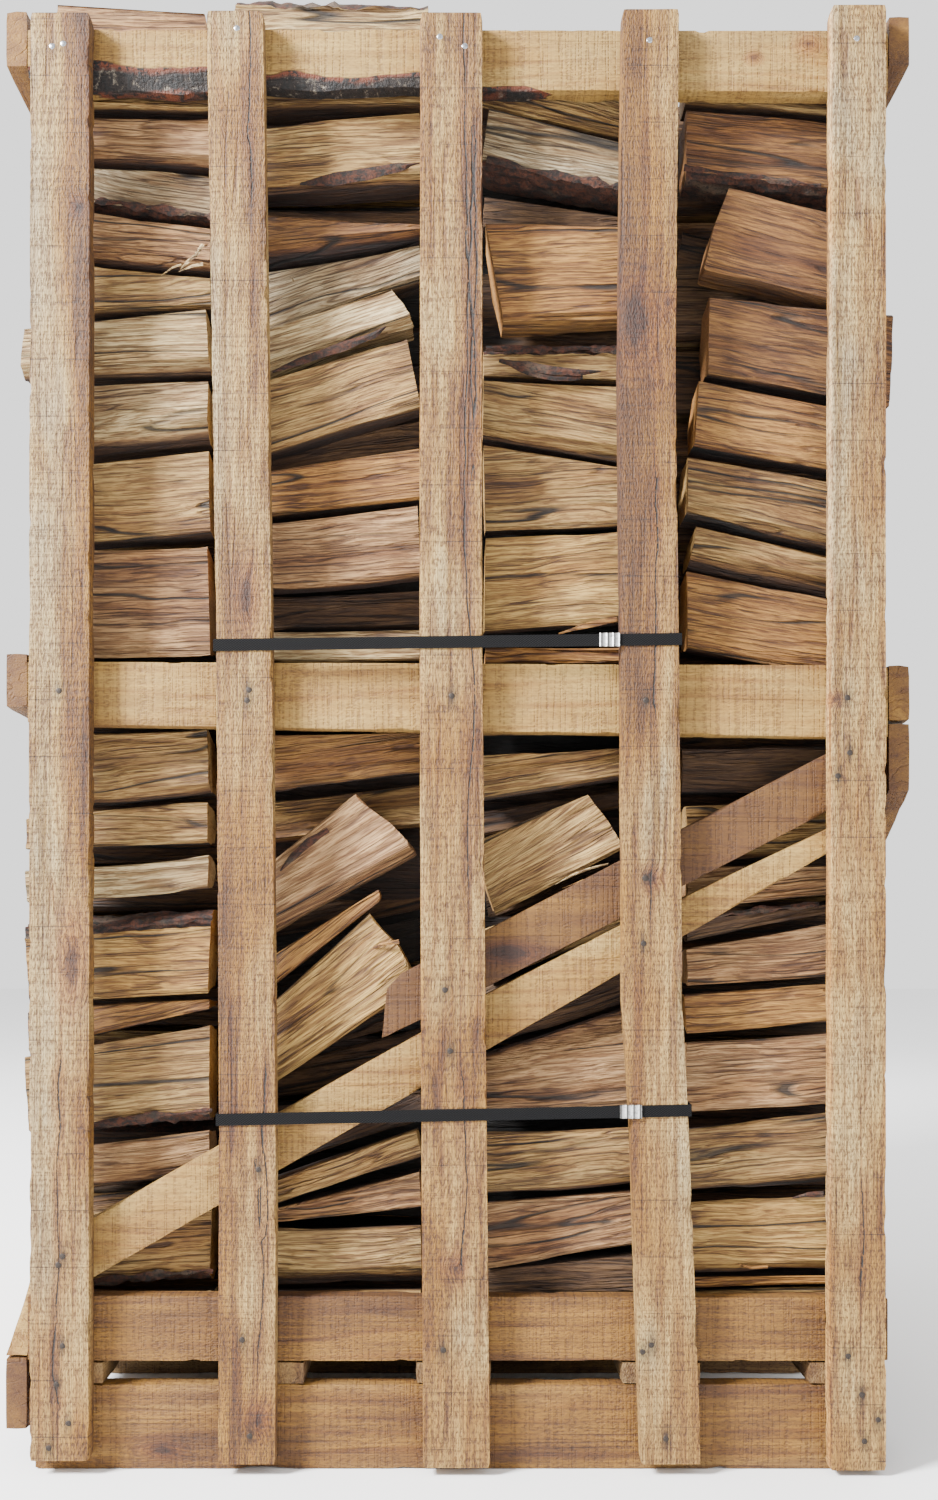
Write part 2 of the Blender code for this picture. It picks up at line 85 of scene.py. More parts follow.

# Logs seen at the front, bay by bay, from the bottom up. Each has its lower edge at the left and
# right side of the bay, its upper edge there, the depth of its face (all mm), section and colour.
# The logs set far back, 84 mm and more, are mostly BROWN or the painted-shade brown: their dark colour is
# partly darker wood and partly painted shade of the recess.
FRONT_LOGS = [
    [(127, 127, 190, 202, 62, "flat", CREAM), (197, 208, 318, 334, 60, "bark_low", TAN),
     (322, 340, 376, 396, 60, "flat", PINK), (388, 404, 498, 528, 55, "bark_low", TAN),
     (500, 541, 545, 555, 62, "flat", ORANGE), (549, 560, 653, 667, 55, "bark_top", STRAW),
     (672, 686, 715, 729, 56, "flat", CREAM), (734, 740, 780, 794, 62, "flat", TAN),
     (784, 800, 876, 881, 55, "low_ridge", TAN), (885, 888, 955, 958, 58, "flat", TAN),
     (960, 966, 1096, 1102, 48, "flat", PINK), (1100, 1112, 1199, 1219, 48, "flat", TAN),
     (1208, 1224, 1297, 1302, 46, "ridge", CREAM), (1304, 1310, 1373, 1389, 50, "low_ridge", CREAM),
     (1381, 1387, 1444, 1427, 56, "flat", TAN), (1446, 1433, 1506, 1486, 54, "low_ridge", PINK),
     (1512, 1490, 1565, 1558, 62, "bark_low", GREY), (1570, 1560, 1626, 1619, 58, "low_ridge", PINK),
     (1632, 1626, 1698, 1698, 60, "flat", TAN)],
    [(127, 127, 198, 201, 60, "flat", TAN), (203, 206, 279, 284, 54, "ridge", TAN),
     (282, 297, 297, 344, 60, "flat", PINK), (300, 357, 338, 396, 56, "low_ridge", TAN),
     (345, 402, 421, 440, 92, "flat", BROWN), (424, 445, 470, 515, 140, "flat", BROWN),
     (476, 520, 548, 590, 142, "flat", BROWN), (552, 596, 622, 655, 142, "flat", PAINTED_SHADE_BROWN),
     (628, 660, 700, 715, 142, "flat", BROWN), (706, 722, 770, 780, 142, "flat", BROWN),
     (745, 762, 800, 822, 100, "flat", TAN), (806, 826, 880, 882, 66, "flat", ORANGE),
     (884, 885, 955, 955, 58, "flat", TAN), (960, 960, 1002, 1003, 56, "flat", CREAM),
     (1005, 1007, 1052, 1060, 92, "flat", BROWN), (1046, 1058, 1133, 1151, 50, "flat", PINK),
     (1136, 1154, 1195, 1223, 58, "flat", ORANGE), (1200, 1228, 1240, 1270, 96, "flat", BROWN),
     (1214, 1262, 1300, 1352, 46, "flat", TAN), (1366, 1424, 1441, 1470, 64, "flat", GREY),
     (1446, 1473, 1503, 1490, 52, "ridge", RUST), (1506, 1492, 1530, 1530, 96, "flat", BROWN),
     (1530, 1540, 1612, 1627, 54, "low_ridge", TAN), (1632, 1636, 1698, 1698, 60, "flat", TAN)],
    [(127, 127, 188, 188, 60, "flat", TAN), (193, 193, 228, 247, 62, "flat", BROWN),
     (226, 252, 308, 322, 54, "flat", PINK), (313, 327, 395, 402, 56, "low_ridge", TAN),
     (410, 420, 486, 541, 56, "peak", PINK), (492, 546, 566, 630, 92, "flat", BROWN),
     (570, 636, 638, 700, 84, "flat", TAN), (645, 706, 752, 782, 142, "flat", BROWN),
     (754, 786, 788, 812, 98, "flat", BROWN), (791, 816, 852, 862, 56, "low_ridge", TAN),
     (870, 872, 954, 954, 58, "flat", TAN), (958, 958, 980, 982, 58, "flat", ORANGE),
     (992, 1006, 1110, 1122, 48, "flat", STRAW), (1116, 1124, 1224, 1197, 52, "flat", TAN),
     (1230, 1202, 1303, 1296, 54, "low_ridge", TAN), (1309, 1303, 1350, 1352, 74, "bark_top", TAN),
     (1356, 1356, 1480, 1480, 142, "flat", BROWN), (1489, 1489, 1537, 1508, 76, "flat", BROWN),
     (1552, 1520, 1627, 1588, 52, "bark_low", GREY), (1632, 1594, 1698, 1698, 60, "flat", TAN)],
    [(127, 127, 200, 205, 60, "flat", TAN), (204, 208, 217, 220, 58, "flat", ORANGE),
     (219, 221, 309, 320, 52, "low_ridge", STRAW), (317, 329, 399, 417, 54, "low_ridge", TAN),
     (416, 428, 506, 516, 54, "flat", PINK), (512, 520, 563, 573, 58, "flat", ORANGE),
     (566, 578, 618, 650, 56, "flat", PINK), (622, 655, 655, 671, 66, "bark_top", BROWN),
     (660, 676, 714, 716, 60, "flat", PINK), (720, 724, 790, 800, 64, "low_ridge", TAN),
     (800, 805, 866, 866, 84, "flat", BROWN), (872, 872, 944, 938, 58, "flat", TAN),
     (973, 944, 1075, 1038, 52, "flat", ORANGE), (1078, 1042, 1129, 1092, 54, "ridge", TAN),
     (1134, 1096, 1213, 1181, 50, "low_ridge", TAN), (1218, 1188, 1302, 1271, 50, "flat", ORANGE),
     (1306, 1276, 1404, 1386, 52, "flat", RUST), (1440, 1400, 1530, 1480, 142, "flat", BROWN),
     (1542, 1520, 1634, 1616, 56, "bark_low", RUST), (1638, 1622, 1698, 1698, 60, "flat", TAN)],
]

# Rows of the first and last bay whose logs stick out past the corner post
PROUD_LEFT = (3, 4, 5, 6, 7, 13)
PROUD_RIGHT = (16,)
# Logs whose ends show between the slats, by bay and row: (left end, right end) in mm
LOG_ENDS = {(0, 5): (-540, -299), (0, 7): (-540, -303), (0, 12): (-540, -300), (0, 13): (-540, -299),
            (1, 18): (-300, -53), (3, 12): (276, 540), (3, 13): (285, 540), (3, 15): (288, 540),
            (3, 16): (303, 540)}

# Logs that lean or stand out: lower left, lower right, upper right, upper left corner (x, z) of the
# face, its depth, thickness (mm), section and colour
LEANING_LOGS = {
    "log_leaning_upper": ((-278, 1294), (-53, 1366), (-79, 1415), (-278, 1343), 48, 78, "low_ridge", CREAM),
    "log_leaning_big": ((-279, 608), (-51, 730), (-111, 802), (-279, 668), 51, 76, "low_ridge", PINK),
    "log_leaning_middle": ((-279, 528), (-95, 672), (-93, 688), (-279, 571), 58, 70, "flat", ORANGE),
    "log_leaning_lower": ((-270, 430), (-54, 575), (-88, 660), (-268, 500), 52, 76, "flat", STRAW),
    "log_big_face": ((56, 1364), (252, 1372), (252, 1484), (33, 1486), 45, 84, "flat", ORANGE),
    "log_leaning_right": ((32, 654), (197, 736), (165, 802), (32, 743), 51, 76, "flat", TAN),
    "log_slanting_right": ((298, 1429), (503, 1377), (503, 1487), (318, 1533), 44, 84, "flat", RUST),
    "log_on_top_left": ((-487, 1699), (-303, 1699), (-306, 1751), (-484, 1761), 59, 84, "flat", PINK),
    "log_on_top_middle": ((-272, 1699), (-36, 1699), (-34, 1764), (-268, 1769), 55, 94, "bark_top", CREAM),
}

# Splinters and flakes of bark: line of (x, z, depth) in mm, width in mm and kind
CHIPS = [
    ([(-333, 1430, 52), (-322, 1436, 44), (-312, 1441, 40), (-303, 1452, 36)], 5, "pale"),
    ([(-335, 1428, 53), (-318, 1430, 44), (-304, 1432, 42)], 4, "pale"),
    ([(-356, 1424, 54), (-340, 1430, 46), (-330, 1432, 44)], 3, "pale"),
    ([(-380, 1258, 58), (-372, 1252, 50), (-366, 1246, 47)], 2.5, "pale"),
    ([(-222, 1306, 50), (-185, 1319, 47), (-140, 1334, 46), (-100, 1349, 47), (-86, 1360, 49)], 11, "bark"),
    ([(-190, 1538, 62), (-150, 1541, 57), (-110, 1546, 55), (-75, 1553, 54), (-44, 1560, 56)], 15, "bark"),
    ([(-213, 708, 53), (-198, 724, 48), (-178, 742, 47), (-155, 757, 51)], 9, "bark"),
    ([(-110, 612, 60), (-90, 620, 50), (-70, 623, 46)], 5, "orange"),
    ([(-262, 1421, 60), (-255, 1410, 50), (-250, 1404, 47)], 3, "pale"),
    ([(-200, 1423, 56), (-196, 1414, 48)], 2.5, "pale"),
    ([(50, 1322, 56), (80, 1312, 46), (112, 1305, 42), (145, 1303, 44), (172, 1308, 52)], 13, "bark"),
    ([(60, 1318, 55), (84, 1304, 46), (118, 1296, 44), (150, 1299, 48)], 8, "bark"),
    ([(118, 692, 56), (140, 704, 46), (160, 711, 43), (180, 716, 44)], 3, "pale"),
    ([(126, 687, 56), (150, 696, 47), (172, 698, 44)], 3, "orange"),
    ([(122, 994, 58), (150, 1001, 50), (191, 1010, 48)], 7, "orange"),
    ([(404, 314, 58), (420, 320, 48), (438, 321, 46)], 7, "bark"),
    ([(316, 176, 58), (340, 186, 46), (358, 189, 44), (374, 184, 50)], 5, "pale"),
    ([(330, 236, 60), (352, 232, 50), (372, 233, 50)], 4, "orange"),
]

# Boards: colour lean at the lower left, lower right, upper left and upper right (-1 grey, 1 orange)
BOARD_TONE = {
    "front_slat_1_corner": (-0.2, 0.5, -0.4, 1.2),
    "front_slat_2": (1.2, 0.6, 0.0, 0.2),
    "front_slat_3": (0.6, 0.4, 0.2, 0.5),
    "front_slat_4": (0.3, 0.0, 1.5, 0.8),
    "front_slat_5_corner": (0.1, 0.2, -0.4, -0.2),
    "front_top_rail": (0.1, 0.2, -0.1, 0.0),
    "front_mid_rail": (0.4, 0.3, 0.3, 0.2),
    "front_brace_upper": (1.9, 1.7, 1.8, 1.8),
    "front_brace_lower": (0.5, 0.2, 0.4, 0.2),
    "front_bottom_rail": (1.2, 1.5, 1.1, 1.3),
    "base_bearer_1": (1.1, 0.9, 1.0, 1.0),
    "left_top_rail": (1.2, 1.2, 0.8, 0.8),
    "left_bottom_rail": (1.7, 1.7, 1.2, 1.2),
    "left_mid_rail": (1.6, 1.6, 1.2, 1.2),
    "right_mid_rail": (1.3, 1.3, 0.9, 0.9),
    "right_top_rail": (1.7, 1.7, 1.5, 1.5),
    "right_brace": (1.5, 1.5, 1.3, 1.3),
}
# Boards whose sides are painted paler, a painted highlight for the light falling on them, and how much
# paler
PAINTED_SIDE_HIGHLIGHTS = {"front_slat_5_corner": 1.6, "front_slat_3": 0.5}
# Knots on boards, as (height or x, across, half length, half width) in mm
KNOTS = {
    "front_slat_1_corner": [(600, -450, 34, 11), (1478, -441, 9, 6)],
    "front_slat_2": [(1026, -247, 26, 10), (66, -232, 14, 10)],
    "front_slat_3": [(242, -4, 12, 9)],
    "front_slat_4": [(1340, 212, 42, 20), (697, 225, 9, 10), (602, 264, 12, 6), (1368, 246, 12, 7)],
    "front_slat_5_corner": [(905, 440, 5, 5)],
    "front_top_rail": [(415, 1682, 10, 8), (350, 1668, 6, 5)],
    "front_brace_upper": [(60, 610, 26, 9)],
    "base_bearer_1": [(-350, 24, 16, 8)],
}
# Cracks along boards, as lists of (height, across) points in mm
CRACKS = {
    "front_slat_1_corner": [[(480, -463), (420, -466), (330, -470), (262, -461), (200, -468)],
                            [(170, -468), (120, -470), (90, -464)]],
    "front_slat_2": [[(1700, -245), (1640, -243), (1560, -246), (1500, -240)],
                     [(470, -224), (380, -229), (300, -222), (200, -228), (140, -236)],
                     [(360, -238), (310, -233), (260, -226)]],
    "front_slat_3": [[(1700, 8), (1400, 14), (1150, 10), (900, 16), (700, 12)],
                     [(1560, 20), (1300, 22), (1180, 19)], [(460, 5), (340, 9), (250, 4)]],
    "front_slat_4": [[(1160, 229), (1080, 231), (980, 228), (900, 231)], [(700, 226), (660, 222)]],
    "front_slat_5_corner": [[(330, 470), (280, 472), (230, 468)]],
}
# Line below which a board still has its bark, as (x, z) points in mm
WANE_LINES = {
    "front_top_rail": [(-508, 1658), (-430, 1660), (-380, 1657), (-300, 1656), (-240, 1646), (-180, 1650),
                       (-110, 1643), (-50, 1646), (40, 1634), (80, 1637), (110, 1626), (508, 1610)],
    "front_brace_upper": [(-90, 480), (33, 500), (508, 700)],
    "front_brace_lower": [(-496, 120), (120, 500), (200, 566), (300, 610), (380, 640), (487, 690)],
}
# Width of the strip of bark below that line, in mm
WANE_WIDTHS = {"front_top_rail": 29, "front_brace_upper": 60, "front_brace_lower": 60}
# Nail heads on the front slats, as (x, z) in mm; the first ones are still bright
BRIGHT_NAILS = [(-472, 1665), (-459, 1668), (-257, 1686), (-21, 1676), (8, 1665), (223, 1672), (464, 1674)]
DULL_NAILS = [(-464, 915), (-460, 257), (-465, 247), (-460, 153), (-467, 108), (-453, 63), (-476, 34),
              (-243, 916), (-245, 904), (-232, 358), (-251, 160), (-242, 48), (-7, 909), (-15, 567),
              (-9, 496), (-17, 148), (219, 904), (218, 697), (216, 621), (225, 154), (215, 146), (242, 45),
              (453, 907), (456, 843), (442, 816), (454, 141), (470, 96), (489, 67), (473, 42)]
NAIL_RADIUS = 3.5 * MM
NAIL_SIDES = 12

# Pitch of the saw's bite marks across a board, of a log's rings and of the folds in a seal
BITE_PITCH = 66 * MM
RING_PITCH = 4.2 * MM
FOLD_PITCH = 7.5 * MM
# Creases between the faces of a mesh that are sharper than this aren't smoothed, in degrees
SHARP_ANGLE = 38.0

# Boards, those at the front in more detail: step along them, cells across and through
FINE_BOARD = (5.5 * MM, 14, 3)
PLAIN_BOARD = (16 * MM, 5, 2)
# A board's edges: how far they wave and lie inside the CAD outline, and how deep chips in them are
EDGE_WAVE = 0.25 * MM
EDGE_INSET = 0.3 * MM
CHIP_DEPTH = 4.0 * MM
# Height below the line of bark over which a board's wane slopes back
WANE_REACH = 20 * MM

# How far a log's surface lies under its plain section, in mm, so that its bumps stay inside
LOG_SINK = 3.0
# How far a front log's slope is carried on past its bay, as a share of the bay's width
PAST_BAY = 0.35
THINNEST_LOG = 12 * MM
# How far most logs of the outer bays end behind those that stick out
SET_BACK = 11 * MM
# Share of a log's height at which its bark breaks off, and the thickness of the bark
BARK_EDGE_HEIGHTS = {"bark_low": 0.14, "bark_top": 0.86}
BARK_THICKNESS = 1.8 * MM
# Width of a chip along its length, and each kind's colour, thickness in mm and material slot
CHIP_TAPER = (0.25, 0.9, 1.0, 0.7, 0.15)
CHIP_KINDS = {"bark": (BROWN, 1.6, 1), "pale": (CREAM, 1.0, 0), "orange": (ORANGE, 1.0, 0)}

# Logs inside the stacks: where they start behind the front, the least and most of their depth and
# height, their sections and colours, and the detail of each kind as section cells and stations
INNER_START = 143 * MM
INNER_DEPTHS = (66 * MM, 112 * MM)
INNER_HEIGHTS = (58 * MM, 106 * MM)
INNER_SECTIONS = ["block", "wedge", "lump", "block", "bark_lump", "peak"]
INNER_DETAIL = {"fine": ((9, 7), 16), "plain": ((6, 5), 6), "hidden": ((2, 2), 2)}
COLOURS = [CREAM, TAN, PINK, TAN, STRAW, GREY, TAN, PINK, STRAW, ORANGE]
# Dark colours painted on the first pile behind the front logs of the inner bays, as painted shade
SHADED_COLOURS = [PAINTED_SHADE_BROWN, PAINTED_SHADE_BROWN, BROWN]
# How much paler the sawn ends are than the split faces
END_LIFT = 1.12

# Studio: floor, lights as (name, place, size, power), the point they face and the world's light
FLOOR_REACH = 14.0
FLOOR_COLOUR = (0.86, 0.86, 0.86, 1.0)
LIGHTS = [("key", (-4.0, -2.9, 3.8), 1.4, 1700.0), ("fill", (3.0, -4.2, 1.2), 2.5, 60.0),
          ("rim", (0.5, 3.5, 3.5), 2.5, 120.0)]
LIGHT_AIM = (0.0, 0.0, 0.85)
WORLD_STRENGTH = 1.65

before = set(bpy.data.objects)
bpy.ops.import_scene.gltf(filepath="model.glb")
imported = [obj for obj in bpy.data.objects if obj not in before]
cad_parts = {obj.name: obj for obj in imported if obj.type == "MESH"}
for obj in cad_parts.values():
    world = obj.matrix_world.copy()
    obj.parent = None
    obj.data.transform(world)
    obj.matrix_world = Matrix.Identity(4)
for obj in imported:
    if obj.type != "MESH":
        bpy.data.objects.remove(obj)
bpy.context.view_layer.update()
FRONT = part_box("front_slat_3")[0][1]
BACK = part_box("back_slat_3")[1][1]


def linear(colour):
    """Turn a colour as seen into the linear values that shaders take."""
    return tuple(c / 12.92 if c <= 0.04045 else ((c + 0.055) / 1.055) ** 2.4 for c in colour)


def shade(colour):
    """Linear value of a wood colour, darkened because the pale studio is brightly lit."""
    return tuple(STUDIO_BALANCE * part ** STUDIO_DEPTH for part in linear(colour))


def between(first, second, share):
    """Value at a share of the way from the first to the second."""
    return first + (second - first) * share


def place_object(name, data, place=(0.0, 0.0, 0.0), turn=(0.0, 0.0, 0.0)):
    """Make an object and put it in the scene."""
    item = bpy.data.objects.new(name, data)
    item.location = place
    item.rotation_euler = turn
    bpy.context.collection.objects.link(item)
    return item


def lattice(ix, iy, iz, seed):
    """Random value in 0..1 at whole-number grid corners."""
    mixed = ix * 374761393 + iy * 668265263 + iz * 1274126177 + np.int64(seed * 974711 + 11)
    mixed = (mixed ^ (mixed >> 13)) * 1274126177
    mixed = mixed ^ (mixed >> 16)
    return (mixed & 0xFFFFF) / 0xFFFFF


def noise(x, y, z, seed):
    """Smooth noise in -1..1."""
    x, y, z = np.broadcast_arrays(x, y, z)
    bases = [np.floor(value).astype(np.int64) for value in (x, y, z)]
    shares = [value - base for value, base in zip((x, y, z), bases)]
    shares = [share * share * (3 - 2 * share) for share in shares]
    total = np.zeros(x.shape)
    for corner in range(8):
        steps = (corner & 1, corner >> 1 & 1, corner >> 2 & 1)
        weight = np.ones(x.shape)
        for step, share in zip(steps, shares):
            weight = weight * (share if step else 1 - share)
        total += weight * lattice(bases[0] + steps[0], bases[1] + steps[1], bases[2] + steps[2], seed)
    return total * 2 - 1


def layered(x, y, z, seed, layers=3):
    """Noise with finer layers added."""
    total = 0.0
    for layer in range(layers):
        total = total + noise(x * 2 ** layer, y * 2 ** layer, z * 2 ** layer, seed + layer) / 2 ** layer
    return total


class Tree:
    """Short calls to build one material's node tree."""

    def __init__(self, name, roughness, metallic=0.0):
        self.material = bpy.data.materials.new(name)
        self.material.use_nodes = True
        self.tree = self.material.node_tree
        self.shader = self.tree.nodes["Principled BSDF"]
        self.shader.inputs["Roughness"].default_value = roughness
        self.shader.inputs["Metallic"].default_value = metallic

    def put(self, socket, value):
        """Set a socket, or link it."""
        if isinstance(value, bpy.types.NodeSocket):
            self.tree.links.new(value, socket)
        elif isinstance(value, (tuple, list)) and len(value) == 3 and socket.type == "RGBA":
            socket.default_value = (*value, 1.0)
        else:
            socket.default_value = value

    def read(self, name, output="Fac"):
        """Value of a mesh attribute."""
        node = self.tree.nodes.new("ShaderNodeAttribute")
        node.attribute_name = name
        return node.outputs[output]

    def place(self):
        """Coordinates on the object."""
        return self.tree.nodes.new("ShaderNodeTexCoord").outputs["Object"]

    def math(self, operation, first, second=0.0):
        """One maths node."""
        node = self.tree.nodes.new("ShaderNodeMath")
        node.operation = operation
        self.put(node.inputs[0], first)
        self.put(node.inputs[1], second)
        return node.outputs[0]

    def plus(self, first, second):
        """Sum of two values."""
        return self.math("ADD", first, second)

    def times(self, first, second):
        """Product of two values."""
        return self.math("MULTIPLY", first, second)

    def total(self, *terms):
        """Sum of values, each times its weight."""
        result = 0.0
        for value, weight in terms:
            result = self.plus(result, self.times(value, weight))
        return result

    def wave(self, value, pitch):
        """Sine of a length that repeats at a pitch."""
        return self.math("SINE", self.times(value, 2 * math.pi / pitch))

    def vector(self, operation, first, second=(0.0, 0.0, 0.0), output="Vector"):
        """One vector maths node."""
        node = self.tree.nodes.new("ShaderNodeVectorMath")
        node.operation = operation
        self.put(node.inputs[0], first)
        self.put(node.inputs[1], second)
        return node.outputs[output]

    def noise(self, vector, scale, detail=3.0, roughness=0.5, distortion=0.0):
        """Noise in 0..1 over stretched coordinates."""
        node = self.tree.nodes.new("ShaderNodeTexNoise")
        self.put(node.inputs["Vector"], self.vector("MULTIPLY", vector, scale))
        node.inputs["Scale"].default_value = 1.0
        node.inputs["Detail"].default_value = detail
        node.inputs["Roughness"].default_value = roughness
        node.inputs["Distortion"].default_value = distortion
        return node.outputs["Fac"]

    def span(self, value, low, high, to_low=0.0, to_high=1.0):
        """Clamped map from one range to another."""
        node = self.tree.nodes.new("ShaderNodeMapRange")
        self.put(node.inputs["Value"], value)
        for key, number in (("From Min", low), ("From Max", high), ("To Min", to_low), ("To Max", to_high)):
            node.inputs[key].default_value = number
        return node.outputs["Result"]

    def mix(self, share, first, second, blend="MIX"):
        """Mix two colours."""
        node = self.tree.nodes.new("ShaderNodeMix")
        node.data_type = "RGBA"
        node.blend_type = blend
        colours = [item for item in node.inputs if item.type == "RGBA"]
        self.put(node.inputs[0], share)
        self.put(colours[0], first)
        self.put(colours[1], second)
        return [item for item in node.outputs if item.type == "RGBA"][0]

    def dye(self, colour, layers):
        """Multiply a colour by (value, none at, full at, strength, factor) in turn."""
        for value, low, high, strength, factor in layers:
            colour = self.mix(self.span(value, low, high, 0.0, strength), colour, factor, "MULTIPLY")
        return colour

    def split(self, vector):
        """The three parts of a vector."""
        node = self.tree.nodes.new("ShaderNodeSeparateXYZ")
        self.put(node.inputs[0], vector)
        return node.outputs

    def join(self, value):
        """A vector with the same value three times."""
        node = self.tree.nodes.new("ShaderNodeCombineXYZ")
        for socket in node.inputs:
            self.put(socket, value)
        return node.outputs[0]

    def finish(self, colour, height, strength, distance):
        """Set the colour and the bump, and return the material."""
        self.put(self.shader.inputs["Base Color"], colour)
        node = self.tree.nodes.new("ShaderNodeBump")
        node.inputs["Strength"].default_value = strength
        node.inputs["Distance"].default_value = distance
        self.put(node.inputs["Height"], height)
        self.put(self.shader.inputs["Normal"], node.outputs["Normal"])
        return self.material


def ridges(tree, vector, scale, width, detail=1.0, distortion=0.4):
    """Thin wandering lines, 1 on the line and 0 beside it."""
    value = tree.noise(vector, scale, detail, 0.5, distortion)
    return tree.span(tree.math("ABSOLUTE", tree.math("SUBTRACT", value, 0.5)), width, width * 0.25)


def board_material(name, pale, warm, grey, line_pitch, fuzz, saw_strength, bite_strength):
    """Rough sawn board: growth lines, fibres, saw lines across, stains, knots, cracks and wane."""
    tree = Tree(name, 0.75)
    grain = tree.read("grain", "Vector")
    along, across = tree.split(grain)[:2]
    broad = tree.noise(grain, (2.4, 20.0, 20.0), 3.0)
    drift = tree.noise(grain, (5.5, 14.0, 14.0), 2.0)
    cloud = tree.noise(grain, (9.0, 30.0, 30.0), 3.0)
    fibre = tree.noise(grain, (12.0, 380.0, 260.0), 3.0, 0.6)
    dashes = tree.noise(grain, (190.0, 520.0, 400.0), 2.0)
    flow = tree.noise(grain, (3.0, 60.0, 60.0), 3.0, 0.6)
    warp = tree.noise(grain, (1.7, 8.0, 8.0), 2.0)
    cork = tree.noise(grain, (110.0, 90.0, 90.0), 4.0, 0.75)
    tone = tree.plus(tree.read("tone"), tree.span(broad, 0.3, 0.7, -0.35, 0.35))
    tone = tree.plus(tone, tree.span(drift, 0.36, 0.64, -0.55 * fuzz, 0.55 * fuzz))
    growth = tree.wave(tree.plus(across, tree.times(warp, 0.085)), line_pitch)
    growth = tree.times(tree.span(growth, 0.45, 1.0), tree.span(broad, 0.34, 0.62))
    streak = ridges(tree, grain, (2.2, 70.0, 50.0), 0.035, 1.0, 0.2)
    streak = tree.times(streak, tree.span(cloud, 0.46, 0.58))
    saw = ridges(tree, grain, (170.0, 5.0, 5.0), 0.085, 1.0, 0.0)
    saw = tree.times(saw, tree.span(dashes, 0.36, 0.58))
    bite = tree.span(tree.wave(along, BITE_PITCH), 0.9975, 0.9995)
    bite = tree.times(bite, tree.span(cloud, 0.40, 0.56))
    knot = tree.plus(tree.read("knot"), tree.span(cloud, 0.3, 0.7, -0.45, 0.45))
    ring = tree.span(tree.math("SINE", tree.times(knot, 16.0)), 0.2, 1.0)
    ring = tree.times(ring, tree.span(knot, 3.0, 1.3))
    wander = tree.span(cloud, 0.3, 0.7, -4.0 * MM, 4.0 * MM)
    crack = tree.math("ABSOLUTE", tree.plus(tree.read("crack"), wander))
    in_crack = tree.times(tree.span(crack, 1.1 * MM, 0.4 * MM), tree.span(dashes, 0.30, 0.42))
    stain = tree.times(tree.read("stain"), tree.span(fibre, 0.3, 0.6, 0.45, 1.0))
    wane = tree.plus(tree.read("wane"), tree.span(cloud, 0.3, 0.7, -6.0 * MM, 6.0 * MM))
    inside = tree.span(wane, -0.7 * MM, 0.7 * MM)
    lip = tree.span(wane, 2.0 * MM, 7.0 * MM)
    colour = tree.mix(tree.span(cloud, 0.38, 0.62), shade(pale), shade(warm))
    colour = tree.mix(tree.span(tone, 0.0, 1.0), colour, shade((0.73, 0.565, 0.22)))
    colour = tree.mix(tree.span(tone, 0.0, -1.0, 0.0, 0.9), colour, shade(grey))
    colour = tree.dye(colour, [
        (tone, 0.9, 1.8, 1.0, (0.44, 0.35, 0.19)),
        (flow, 0.52, 0.64, fuzz, (0.58, 0.45, 0.22)),
        (flow, 0.46, 0.34, 0.8, (1.14, 1.16, 1.20)),
        (growth, 0.0, 1.0, 0.75, (0.70, 0.56, 0.40)),
        (fibre, 0.50, 0.62, fuzz, (0.64, 0.54, 0.42)),
        (fibre, 0.48, 0.38, fuzz, (1.22, 1.22, 1.20)),
        (dashes, 0.54, 0.62, fuzz, (0.52, 0.42, 0.31)),
        (dashes, 0.44, 0.36, fuzz, (1.20, 1.20, 1.18)),
        (streak, 0.0, 1.0, 0.8 * fuzz, (0.42, 0.28, 0.18)),
        (saw, 0.0, 1.0, saw_strength, (0.48, 0.38, 0.30)),
        (bite, 0.0, 1.0, bite_strength, (0.25, 0.19, 0.15)),
        # Painted highlight: paler sides on some boards
        (tree.read("side_highlight"), 0.0, 1.0, 1.0, (1.6, 1.5, 1.5)),
        (knot, 2.6, 0.9, 0.85, (0.72, 0.50, 0.32)),
        (ring, 0.0, 1.0, 0.6, (0.52, 0.34, 0.22)),
        (knot, 1.0, 0.45, 0.85, (0.26, 0.16, 0.10)),
        (crack, 14.0 * MM, 1.0 * MM, 0.9, (0.60, 0.42, 0.23)),
    ])
    colour = tree.mix(in_crack, colour, shade((0.16, 0.09, 0.05)))
    colour = tree.mix(stain, colour, shade((0.16, 0.115, 0.07)))
    bark = tree.mix(lip, shade((0.62, 0.36, 0.20)), shade((0.24, 0.17, 0.13)))
    bark = tree.mix(tree.span(cork, 0.50, 0.58), bark, shade((0.09, 0.06, 0.05)))
    bark = tree.mix(tree.times(tree.span(cork, 0.43, 0.33), lip), bark, shade((0.70, 0.66, 0.60)))
    colour = tree.mix(inside, colour, bark)
    height = tree.total((fibre, -0.8 * fuzz), (dashes, -fuzz), (saw, -0.3), (in_crack, -1.4),
                        (streak, -0.5), (tree.times(cork, inside), 3.0))
    return tree.finish(colour, height, 1.0, 1.5 * MM)


